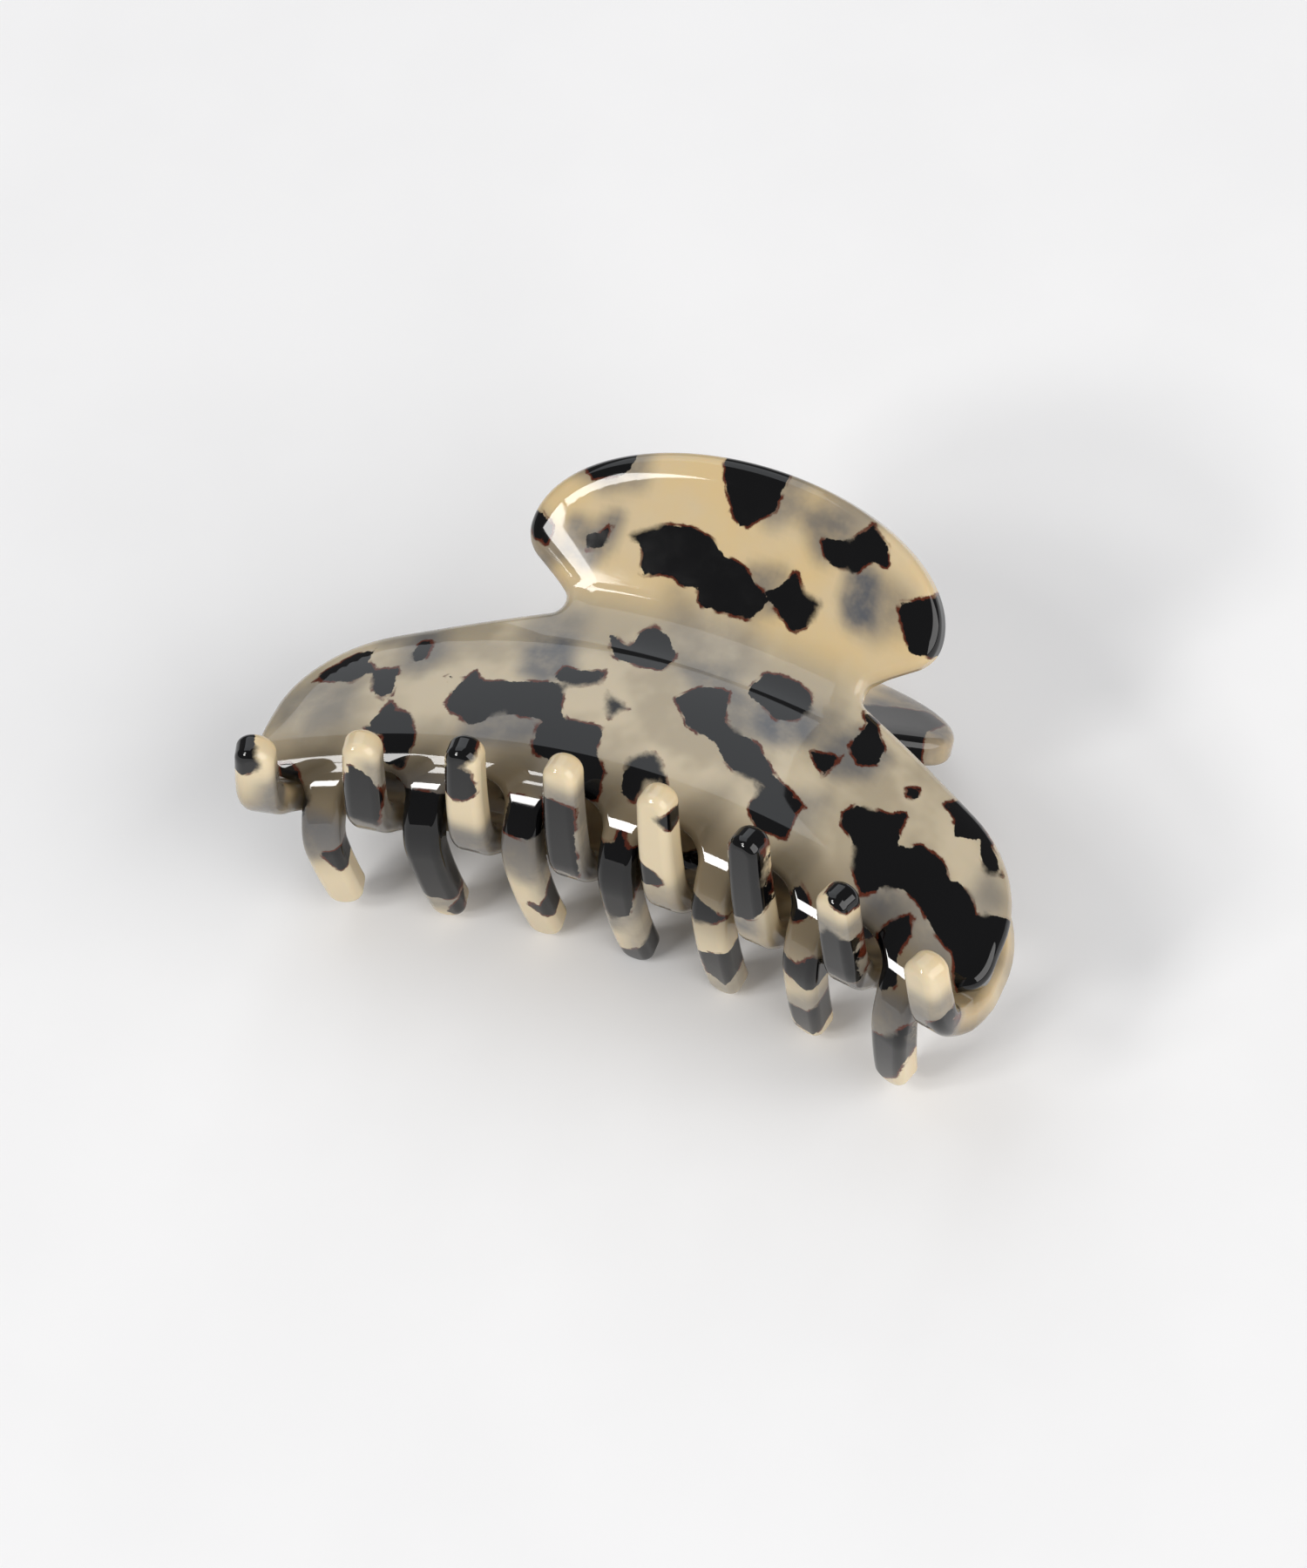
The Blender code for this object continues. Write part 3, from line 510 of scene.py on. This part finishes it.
def rolled(points, closeness):
    """Depth and slope of the polished face at points of the blank, from 0 to 1 close to the rim."""
    weight = np.clip((points[:, 1] - ROLL_START) / (ROLL_END - ROLL_START), 0, 1)
    return ROLL_SINK * closeness**2 * weight, 2 * ROLL_SINK / ROLL_WIDTH * closeness * weight


def rim_rings(edge, normals):
    """Rings of the rounded edge, from face to face: points (u, v, depth) and outward normals."""
    unit = normals / np.linalg.norm(normals, axis=1, keepdims=True)
    sink, slope = rolled(edge, 1.0)
    start = np.arctan(slope)
    rings = []
    for step in range(ROUNDING_STEPS + 1):
        angle = math.pi / 2 * step / ROUNDING_STEPS
        ring = edge + normals * EDGE_ROUNDING * (1 - math.sin(angle))
        depth = sink + (EDGE_ROUNDING - sink) * (1 - math.cos(angle))
        lean = start + (math.pi / 2 - start) * step / ROUNDING_STEPS
        rings.append((ring, depth, -unit * np.sin(lean)[:, None], -np.cos(lean)))
    rings += [(ring, SHEET - depth, out, -down) for ring, depth, out, down in reversed(rings)]
    places = [np.column_stack([ring, depth]) for ring, depth, out, down in rings]
    outwards = [np.column_stack([out, down]) for ring, depth, out, down in rings]
    return places, outwards


def face_slope(grid, edge):
    """Depth and outward normal of the face at each grid point, with its roll near the rim."""
    step = 0.05
    inside = -distance_to(grid, edge)
    gradient = []
    for axis in range(2):
        shift = np.zeros(2)
        shift[axis] = step
        gradient.append((distance_to(grid + shift, edge) - distance_to(grid - shift, edge)) / (2 * step))
    sink, slope = rolled(grid, np.clip(1 - inside / ROLL_WIDTH, 0, 1))
    normal = np.column_stack([np.stack(gradient, axis=1) * slope[:, None], -np.ones(len(grid))])
    return sink, normal / np.linalg.norm(normal, axis=1, keepdims=True)


def blank_mesh(teeth, trim):
    """Vertices (u, v, depth), outward normals and faces of a flat blank with rounded edges."""
    edge = outline(teeth, trim)
    normals = inward(edge)
    places, outwards = rim_rings(edge, normals)
    levels = len(places)
    count = len(edge)
    faces = []
    for level in range(levels - 1):
        for index in range(count):
            following = (index + 1) % count
            upper = level * count
            lower = upper + count
            faces.append((upper + index, upper + following, lower + following, lower + index))
    inner_edge = edge + normals * EDGE_ROUNDING
    grid, triangles = face_grid(inner_edge)
    sink, slope = face_slope(grid, inner_edge)
    for under in (False, True):
        base = sum(len(place) for place in places)
        first_ring = (levels - 1) * count if under else 0
        places.append(np.column_stack([grid, SHEET - sink if under else sink]))
        outwards.append(slope * (1, 1, -1) if under else slope)
        for triangle in triangles:
            corners = []
            for index in triangle:
                corners.append(first_ring + index if index < count else base + index - count)
            faces.append(corners[::-1] if under else corners)
    return np.vstack(places), np.vstack(outwards), faces


def formed_normals(blank, outwards, side):
    """Normals of a formed jaw, from the flat blank's normals and the slope of the forming map."""
    step = 0.01
    columns = []
    for axis in range(3):
        shift = np.zeros(3)
        shift[axis] = step
        columns.append((formed(blank + shift, side) - formed(blank - shift, side)) / (2 * step))
    slope = np.stack(columns, axis=-1)
    normals = np.einsum("nij,nj->ni", np.linalg.inv(slope).transpose(0, 2, 1), outwards)
    return normals / np.linalg.norm(normals, axis=1, keepdims=True)


def chip_distance(blank, chips):
    """Distance from each blank point to the nearest chip of colour, negative inside one."""
    places = blank[:, :2] + blank[:, 2:] * np.array(CHIP_SLANT)
    nearest = np.full(len(blank), np.inf)
    for corners in chips:
        nearest = np.minimum(nearest, distance_to(places, corners))
    return nearest


def cloud_cover(blank, clouds):
    """Strength of the deep grey clouds, from 0 to 1."""
    clear = np.ones(len(blank))
    for strength, softness, corners in clouds:
        fade = np.clip(0.5 + (CLOUD_GROWTH - distance_to(blank[:, :2], corners)) / (2 * softness), 0, 1)
        clear *= 1 - CLOUD_STRENGTH * strength * fade * fade * (3 - 2 * fade)
    return 1 - clear


def add_values(data, name, values):
    """Stores one number or vector for each vertex."""
    kind = "FLOAT" if values.ndim == 1 else "FLOAT_VECTOR"
    stored = data.attributes.new(name, kind, "POINT")
    field = "value" if values.ndim == 1 else "vector"
    stored.data.foreach_set(field, values.astype(np.float32).ravel())


def jaw(name, teeth, trim, side, chips, clouds):
    """Finely meshed jaw with its pattern stored on its vertices."""
    blank, outwards, faces = blank_mesh(teeth, trim)
    points = formed(blank, side)
    normals = formed_normals(blank, outwards, side)
    faces = [face[::-1] for face in faces] if side < 0 else faces
    data = bpy.data.meshes.new(name)
    data.from_pydata((points * MM).tolist(), [], faces)
    data.shade_smooth()
    data.normals_split_custom_set_from_vertices(normals.tolist())
    add_values(data, "blank", blank)
    add_values(data, "chip", chip_distance(blank, chips))
    add_values(data, "cloud", cloud_cover(blank, clouds))
    obj = bpy.data.objects.new(name, data)
    bpy.context.scene.collection.objects.link(obj)
    return obj


class Nodes:
    """Small helper that adds and links shader nodes of one material."""

    def __init__(self, name):
        self.material = bpy.data.materials.new(name)
        self.material.use_nodes = True
        self.tree = self.material.node_tree
        self.shader = self.tree.nodes["Principled BSDF"]

    def add(self, kind, **settings):
        node = self.tree.nodes.new(kind)
        for key, value in settings.items():
            setattr(node, key, value)
        return node

    def feed(self, socket, value):
        if isinstance(value, bpy.types.NodeSocket):
            self.tree.links.new(value, socket)
        else:
            socket.default_value = value

    def math(self, operation, *values):
        node = self.add("ShaderNodeMath", operation=operation)
        for socket, value in zip(node.inputs, values):
            self.feed(socket, value)
        return node.outputs[0]

    def mapped(self, value, low, high, start=0.0, end=1.0):
        node = self.add("ShaderNodeMapRange", interpolation_type="SMOOTHSTEP")
        limits = {"From Min": low, "From Max": high, "To Min": start, "To Max": end}
        for key, given in {"Value": value, **limits}.items():
            self.feed(node.inputs[key], given)
        return node.outputs["Result"]

    def mix(self, factor, first, second):
        node = self.add("ShaderNodeMix", data_type="RGBA")
        self.feed(node.inputs["Factor"], factor)
        for socket, colour in ((node.inputs[6], first), (node.inputs[7], second)):
            self.feed(socket, (*colour, 1) if isinstance(colour, tuple) else colour)
        return node.outputs[2]

    def stored(self, name):
        return self.add("ShaderNodeAttribute", attribute_name=name)

    def noise(self, vector, scale, detail=2.0, roughness=0.5):
        node = self.add("ShaderNodeTexNoise")
        self.feed(node.inputs["Vector"], vector)
        node.inputs["Scale"].default_value = scale
        node.inputs["Detail"].default_value = detail
        node.inputs["Roughness"].default_value = roughness
        return node.outputs["Fac"]

    def bump(self, height, strength, distance):
        node = self.add("ShaderNodeBump")
        node.inputs["Strength"].default_value = strength
        node.inputs["Distance"].default_value = distance
        self.feed(node.inputs["Height"], height)
        self.feed(self.shader.inputs["Normal"], node.outputs["Normal"])

    def set(self, **values):
        for key, value in values.items():
            self.feed(self.shader.inputs[key.replace("_", " ")], value)


# Linear colours of the acetate. SKIN_DEPTH and ACETATE_SCATTER are in millimetres.
CREAM = (0.63, 0.475, 0.25)
PALE_CREAM = (0.60, 0.48, 0.30)
# Painted shade: the plate's creams are darker than the tab's, because the plate faces up, away from the
# front lights
SHADED_PLATE_CREAM = (0.38, 0.32, 0.225)
PALE_SHADED_PLATE = (0.53, 0.45, 0.32)
TIP_CREAM = (0.69, 0.58, 0.39)
# Painted shade on the shoulders, for the dark space inside the closed jaws seen through the sheet
PAINTED_SHOULDER_SHADE = (0.19, 0.15, 0.095)
# Painted warm glow of light scattered in the sheet, towards its inner face
PAINTED_INNER_GLOW = (0.66, 0.49, 0.26)
SMOKE = (0.075, 0.084, 0.102)
CHIP_BLACK = (0.0022, 0.0022, 0.0025)
FRINGE_BROWN = (0.085, 0.017, 0.007)
LUG_CREAM = (0.55, 0.40, 0.20)
PALE_LUG = (0.66, 0.53, 0.33)
SKIN_DEPTH = 0.6
ACETATE_SCATTER = 1.5
ACETATE_IOR = 1.49


def tortoise():
    """Polished cellulose acetate: cream, with near-black chips fringed red-brown, and grey clouds."""
    nodes = Nodes("tortoise_acetate")
    blank = nodes.stored("blank").outputs["Vector"]
    place = nodes.add("ShaderNodeSeparateXYZ")
    nodes.feed(place.inputs[0], blank)
    broad = nodes.noise(blank, 0.09, 3.0)
    ragged = nodes.noise(blank, 0.9, 4.0, 0.6)
    veins = nodes.noise(blank, 0.3, 3.0, 0.6)

    tab = nodes.mix(nodes.mapped(broad, 0.35, 0.65), CREAM, PALE_CREAM)
    # Painted shade: the plate is darker than the tab, and both have random paler patches
    plate = nodes.mix(nodes.mapped(broad, 0.4, 0.6), SHADED_PLATE_CREAM, PALE_SHADED_PLATE)
    ground = nodes.mix(nodes.mapped(place.outputs["Y"], 16.0, 22.0), plate, tab)
    # Painted shade over the shoulders, ending before the paler tooth tips
    ground = nodes.mix(nodes.mapped(place.outputs["Y"], -1.0, -9.0), ground, PAINTED_SHOULDER_SHADE)
    ground = nodes.mix(nodes.mapped(place.outputs["Y"], -13.0, -26.0), ground, TIP_CREAM)
    # Painted amber glow, growing with depth towards the inner face
    inner = nodes.mapped(place.outputs["Z"], SKIN_DEPTH, SHEET - SKIN_DEPTH)
    ground = nodes.mix(nodes.math("MULTIPLY", inner, 0.55), ground, PAINTED_INNER_GLOW)
    cloud = nodes.stored("cloud").outputs["Fac"]
    cloud = nodes.math("MULTIPLY", cloud, nodes.mapped(veins, 0.25, 0.6, 0.75, 1.0))
    ground = nodes.mix(cloud, ground, SMOKE)

    wander = nodes.math("MULTIPLY", nodes.math("SUBTRACT", ragged, 0.5), 0.95)
    edge = nodes.math("ADD", nodes.stored("chip").outputs["Fac"], wander)
    edge = nodes.math("SUBTRACT", edge, CHIP_GROWTH)
    blur = nodes.mapped(nodes.noise(blank, 0.13, 1.0), 0.55, 0.65)
    fringe = nodes.math("MULTIPLY", nodes.mapped(edge, 0.42, 0.16), nodes.math("SUBTRACT", 1.0, blur))
    patchy = nodes.mapped(nodes.noise(blank, 0.3, 1.0), 0.42, 0.52)
    coloured = nodes.mix(nodes.math("MULTIPLY", fringe, patchy), ground, FRINGE_BROWN)
    softness = nodes.mapped(blur, 0.0, 1.0, 0.07, 0.55)
    chip = nodes.mapped(edge, softness, nodes.math("MULTIPLY", softness, -1.0))
    coloured = nodes.mix(chip, coloured, CHIP_BLACK)

    clear = nodes.math("SUBTRACT", 1.0, nodes.math("MAXIMUM", chip, cloud))
    nodes.set(Base_Color=coloured, Subsurface_Weight=nodes.math("MULTIPLY", clear, 0.25))
    nodes.shader.inputs["Subsurface Radius"].default_value = (1.0, 0.55, 0.22)
    nodes.shader.inputs["Subsurface Scale"].default_value = ACETATE_SCATTER * MM
    nodes.shader.inputs["IOR"].default_value = ACETATE_IOR
    handled = nodes.noise(blank, 0.25, 4.0, 0.7)
    nodes.set(Roughness=nodes.mapped(handled, 0.3, 0.75, 0.02, 0.05))
    nodes.bump(nodes.noise(blank, 0.12, 1.0), 0.25, 0.03 * MM)
    return nodes.material


def lug_acetate():
    """Plain moulded acetate of the hinge lugs, a little cloudy."""
    nodes = Nodes("lug_acetate")
    place = nodes.add("ShaderNodeTexCoord").outputs["Object"]
    cloudy = nodes.noise(place, 220.0, 3.0)
    tone = nodes.mapped(cloudy, 0.3, 0.7)
    nodes.set(Base_Color=nodes.mix(tone, LUG_CREAM, PALE_LUG))
    nodes.set(Roughness=nodes.mapped(nodes.noise(place, 900.0, 2.0), 0.3, 0.7, 0.14, 0.26))
    nodes.shader.inputs["Subsurface Weight"].default_value = 0.2
    nodes.shader.inputs["Subsurface Scale"].default_value = ACETATE_SCATTER * MM
    nodes.shader.inputs["IOR"].default_value = ACETATE_IOR
    nodes.bump(nodes.noise(place, 1500.0, 2.0), 0.1, 0.02 * MM)
    return nodes.material


def steel(name, light, dark, stretch):
    """Drawn or turned steel, with fine lines across the stretch direction."""
    nodes = Nodes(name)
    place = nodes.add("ShaderNodeTexCoord").outputs["Object"]
    scaled = nodes.add("ShaderNodeMapping")
    nodes.feed(scaled.inputs["Vector"], place)
    scaled.inputs["Scale"].default_value = stretch
    lines = nodes.noise(scaled.outputs["Vector"], 900.0, 3.0, 0.6)
    nodes.set(Base_Color=nodes.mix(nodes.mapped(lines, 0.35, 0.65), dark, light))
    nodes.set(Roughness=nodes.mapped(lines, 0.3, 0.7, 0.18, 0.34))
    nodes.shader.inputs["Metallic"].default_value = 1.0
    nodes.bump(lines, 0.15, 0.02 * MM)
    return nodes.material


def link(name, mesh, material):
    """Writes a bmesh in frame metres as a smooth object."""
    bmesh.ops.recalc_face_normals(mesh, faces=mesh.faces)
    if mesh.calc_volume(signed=True) < 0:
        bmesh.ops.reverse_faces(mesh, faces=mesh.faces)
    data = bpy.data.meshes.new(name)
    mesh.to_mesh(data)
    mesh.free()
    data.materials.append(material)
    data.shade_smooth()
    data.set_sharp_from_angle(angle=math.radians(35))
    obj = bpy.data.objects.new(name, data)
    bpy.context.scene.collection.objects.link(obj)
    return obj


def turned(profile, segments=96):
    """Body turned about the hinge axis from a loop of (x, radius) points, or a path between axis points."""
    mesh = bmesh.new()
    rings = []
    for x, radius in profile:
        ring = []
        for index in range(segments if radius > 0 else 1):
            angle = 2 * math.pi * index / segments
            point = np.array([[x, radius * math.cos(angle), radius * math.sin(angle)]])
            ring.append(mesh.verts.new(in_frame(point, 1)[0] * MM))
        rings.append(ring)
    if profile[0][1] > 0:
        rings.append(rings[0])
    for first, second in zip(rings, rings[1:]):
        for index in range(segments):
            following = (index + 1) % segments
            corners = [ring[step % len(ring)] for ring, step in ((first, index), (first, following))]
            corners += [ring[step % len(ring)] for ring, step in ((second, following), (second, index))]
            mesh.faces.new(dict.fromkeys(corners))
    return mesh


def rounded_path(corners, radius):
    """Path of (x, radius) points with the corners between its ends rounded."""
    inner = [(*corner, radius) for corner in corners[1:-1]]
    path = rounded([(*corners[0], 0)] + inner + [(*corners[-1], 0)])
    return [(point.x, point.y) for point in path]


def rounded_loop(corners, radius):
    """Loop of (x, radius) points with each corner rounded; the last corner joins the first."""
    return rounded_path([corners[-1]] + corners + [corners[0]], radius)[1:-1]


def lug(name, inner_x, outward, side, material):
    """Hinge lug: a foot bonded under its jaw, and a round knuckle bored for the pin."""
    bore = PIN_RADIUS + RUNNING_CLEARANCE
    knuckle = bore + KNUCKLE_WALL
    foot_steps = 24
    knuckle_steps = 48
    mesh = bmesh.new()
    ends = []
    for x in (inner_x * outward, (inner_x + LUG_WIDTH) * outward):
        v = np.linspace(LUG_FOOT_START, LUG_FOOT_END, foot_steps + 1)
        blank = np.column_stack([np.full_like(v, x), v, np.full_like(v, SHEET - LUG_SUNK)])
        foot = formed(blank, side)
        angle = KNUCKLE_START - KNUCKLE_TURN * np.linspace(0, 1, knuckle_steps + 1)
        arc = np.column_stack([np.full_like(angle, x), knuckle * np.cos(angle), knuckle * np.sin(angle)])
        loop = np.vstack([foot, in_frame(arc, side)])
        loop[:, 0] = x
        ends.append([mesh.verts.new(point * MM) for point in loop])
    count = len(ends[0])
    for index in range(count):
        following = (index + 1) % count
        mesh.faces.new((ends[0][index], ends[0][following], ends[1][following], ends[1][index]))
    mesh.faces.new(ends[0])
    mesh.faces.new(list(reversed(ends[1])))
    solid = link(name, mesh, material)
    reach = inner_x + LUG_WIDTH * 2
    cutter_mesh = turned([(-reach, 0), (-reach, bore), (reach, bore), (reach, 0)])
    cutter = link(name + "_cutter", cutter_mesh, material)
    cut = solid.modifiers.new("bore", "BOOLEAN")
    cut.object = cutter
    edge = solid.modifiers.new("edge", "BEVEL")
    edge.width = LUG_EDGE * MM
    edge.segments = 3
    edge.limit_method = "ANGLE"
    edge.angle_limit = math.radians(50)
    bpy.context.view_layer.update()
    shape = bpy.data.meshes.new_from_object(solid.evaluated_get(bpy.context.evaluated_depsgraph_get()))
    solid.modifiers.clear()
    solid.data = shape
    bpy.data.objects.remove(cutter)
    shape.shade_smooth()
    shape.set_sharp_from_angle(angle=math.radians(35))
    return solid


def spring_route():
    """Centre line of the spring wire in the frame: front leg, coils round the pin, rear leg."""
    coil = PIN_RADIUS + SPRING_BORE_GAP + SPRING_WIRE_RADIUS
    lift = SHEET + PART_GAP * 1.5 + SPRING_WIRE_RADIUS
    segments = 40
    legs = []
    for side in (1, -1):
        foot = np.array([[0, BACK_LENGTH + SPRING_LEG, lift]])
        knee = np.array([[0, CREASE_END + SPRING_KNEE, lift + SPRING_KNEE_LIFT]])
        legs.append(np.vstack([formed(foot, side), formed(knee, side)]))
    legs[0][:, 0] = -SPRING_HALF_LENGTH
    legs[1][:, 0] = SPRING_HALF_LENGTH
    steps = round((SPRING_COILS + 0.5) * segments)
    index = np.arange(steps + 1)
    angle = math.pi / 2 + 2 * math.pi * index / segments
    x = -SPRING_HALF_LENGTH + 2 * SPRING_HALF_LENGTH * index / steps
    coils = in_frame(np.column_stack([x, coil * np.cos(angle), coil * np.sin(angle)]), 1)
    return np.vstack([legs[0], coils, legs[1][::-1]])


def spring(material):
    """Round spring wire as a mesh with filled ends."""
    curve = bpy.data.curves.new("torsion_spring_wire", "CURVE")
    curve.dimensions = "3D"
    curve.bevel_depth = SPRING_WIRE_RADIUS * MM
    curve.bevel_resolution = 5
    curve.use_fill_caps = True
    route = spring_route() * MM
    line = curve.splines.new("POLY")
    line.points.add(len(route) - 1)
    for point, place in zip(line.points, route):
        point.co = (*place, 1)
    holder = bpy.data.objects.new("torsion_spring_wire", curve)
    bpy.context.scene.collection.objects.link(holder)
    bpy.context.view_layer.update()
    data = bpy.data.meshes.new_from_object(holder)
    bpy.data.objects.remove(holder)
    data.materials.clear()
    data.materials.append(material)
    data.shade_smooth()
    obj = bpy.data.objects.new("spring_wire", data)
    bpy.context.scene.collection.objects.link(obj)
    return obj


def mirrored(chips):
    """The same chips with the sheet turned over."""
    return [[(-u, v) for u, v in reversed(corners)] for corners in chips]


def turned_clouds(clouds):
    """The clouds above the teeth, for the sheet turned over."""
    above = [cloud for cloud in clouds if min(v for u, v in cloud[2]) > ROOT_LINE]
    return [(strength, softness, mirrored([corners])[0]) for strength, softness, corners in above]


acetate = tortoise()
front_chips = FRONT_TAB_CHIPS + FRONT_PLATE_CHIPS + FRONT_TOOTH_CHIPS
rear_chips = mirrored(FRONT_PLATE_CHIPS) + mirrored(FRONT_TAB_CHIPS[:2] + FRONT_TAB_CHIPS[3:4])
rear_chips += REAR_TAB_CHIPS + REAR_TOOTH_CHIPS
rear_clouds = REAR_CLOUDS + turned_clouds(FRONT_CLOUDS)

front = jaw("front_half_jaw", FRONT_TEETH, 0.0, 1, front_chips, FRONT_CLOUDS)
rear = jaw("rear_half_jaw", REAR_TEETH, REAR_TOOTH_TRIM, -1, rear_chips, rear_clouds)
for obj, body, node in ((front, "front_half", "front_jaw"), (rear, "rear_half", "rear_jaw")):
    obj.data.materials.append(acetate)
    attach(obj, body)
    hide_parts(node)

plain = lug_acetate()
front_x = SPRING_HALF_LENGTH + SPRING_WIRE_RADIUS + SPRING_SIDE_GAP
rear_x = front_x + LUG_WIDTH + PART_GAP
for hand, outward in (("left", -1), ("right", 1)):
    for half, inner_x, side in (("front", front_x, 1), ("rear", rear_x, -1)):
        piece = lug(f"{half}_hinge_lug_{hand}", inner_x, outward, side, plain)
        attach(piece, f"{half}_half")
        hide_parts(f"{half}_lug_{hand}")

pin_steel = steel("pin_steel", (0.62, 0.61, 0.60), (0.48, 0.48, 0.48), (0.05, 1, 1))
lug_end = rear_x + LUG_WIDTH + PART_GAP
head_end = lug_end + PIN_HEAD_HEIGHT
pin_end = head_end + PIN_PROUD
pin_corners = [(-head_end, 0), (-head_end, PIN_HEAD_RADIUS), (-lug_end, PIN_HEAD_RADIUS)]
pin_corners += [(-lug_end, PIN_RADIUS), (pin_end, PIN_RADIUS), (pin_end, 0)]
pin = link("hinge_pin_rod", turned(rounded_path(pin_corners, PIN_CHAMFER)), pin_steel)
collar_corners = [(lug_end, PIN_RADIUS), (lug_end, PIN_HEAD_RADIUS)]
collar_corners += [(head_end, PIN_HEAD_RADIUS), (head_end, PIN_RADIUS)]
collar = link("pin_end_collar", turned(rounded_loop(collar_corners, PIN_CHAMFER / 2)), pin_steel)
for piece, node in ((pin, "hinge_pin"), (collar, "pin_collar")):
    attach(piece, "rear_half")
    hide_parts(node)

wire = spring(steel("spring_steel", (0.55, 0.55, 0.57), (0.40, 0.40, 0.42), (1, 1, 1)))
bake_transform(wire)
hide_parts("torsion_spring")


# Stage, in metres, with the lens in millimetres and the turn in degrees; the lights face LIGHT_TARGET
FLOOR_HALF_SIZE = 10
LIGHT_DISTANCE = 3.0
LIGHT_TARGET = Vector((0, 0, 0.02))
WINDOW_WHITE = (1.0, 0.99, 0.97)
FILL_WHITE = (1.0, 0.99, 0.98)
SKY_WHITE = (0.92, 0.96, 1.0)
SURROUND_GREY = (0.18, 0.18, 0.185, 1)
CAMERA_LENS = 119.83
CAMERA_PLACE = (0.17670, -0.30876, 0.50555)
CAMERA_TURN = (35.565, 4.650, 24.013)


def floor():
    """Plain pale floor under the clip."""
    mesh = bmesh.new()
    bmesh.ops.create_grid(mesh, x_segments=1, y_segments=1, size=FLOOR_HALF_SIZE)
    data = bpy.data.meshes.new("floor")
    mesh.to_mesh(data)
    mesh.free()
    obj = bpy.data.objects.new("floor", data)
    bpy.context.scene.collection.objects.link(obj)
    nodes = Nodes("floor_paper")
    place = nodes.add("ShaderNodeTexCoord").outputs["Object"]
    tone = nodes.mapped(nodes.noise(place, 30.0, 3.0), 0.3, 0.7)
    nodes.set(Base_Color=nodes.mix(tone, (0.86, 0.857, 0.86), (0.88, 0.877, 0.88)))
    nodes.shader.inputs["Roughness"].default_value = 0.9
    nodes.shader.inputs["Specular IOR Level"].default_value = 0.1
    data.materials.append(nodes.material)


def panel_light(name, direction, size, radiance, colour, up=(0, 0, 1)):
    """Rectangular studio light in that direction from the clip, with that radiance over its face."""
    light = bpy.data.lights.new(name, "AREA")
    light.shape = "RECTANGLE"
    light.size, light.size_y = size
    light.energy = radiance * math.pi * size[0] * size[1]
    light.color = colour
    obj = bpy.data.objects.new(name, light)
    bpy.context.scene.collection.objects.link(obj)
    back = Vector(direction).normalized()
    right = Vector(up).cross(back).normalized()
    turn = Matrix((right, back.cross(right), back)).transposed()
    obj.matrix_world = Matrix.Translation(back * LIGHT_DISTANCE + LIGHT_TARGET) @ turn.to_4x4()


def studio():
    """Broad cool softbox behind and above, windows from the front left, and a fill from the right."""
    tilt = (0, 0.873, -0.49)
    panel_light("overhead_softbox", (-0.446, 0.434, 0.783), (2.14, 3.33), 1.2, SKY_WHITE, tilt)
    panel_light("front_window", (-0.375, -0.755, 0.545), (0.62, 0.40), 28.0, WINDOW_WHITE)
    panel_light("left_window", (-0.4255, -0.5647, 0.7071), (0.64, 0.451), 15.0, WINDOW_WHITE)
    panel_light("rim_window", (-0.395, -0.455, 0.80), (0.36, 0.34), 14.0, WINDOW_WHITE)
    panel_light("right_fill", (0.84, -0.15, 0.52), (3.8, 2.8), 2.9, FILL_WHITE)
    world = bpy.data.worlds.new("surround")
    world.use_nodes = True
    world.node_tree.nodes["Background"].inputs["Color"].default_value = SURROUND_GREY
    bpy.context.scene.world = world
    bpy.context.scene.view_settings.view_transform = "Standard"


def camera():
    """Camera above and to the right of the clip's front, with a long lens."""
    data = bpy.data.cameras.new("camera")
    data.lens = CAMERA_LENS
    data.sensor_width = 36.0
    data.clip_start = 0.01
    obj = bpy.data.objects.new("camera", data)
    obj.location = CAMERA_PLACE
    obj.rotation_euler = Euler([math.radians(angle) for angle in CAMERA_TURN])
    bpy.context.scene.collection.objects.link(obj)
    bpy.context.scene.camera = obj


floor()
studio()
camera()
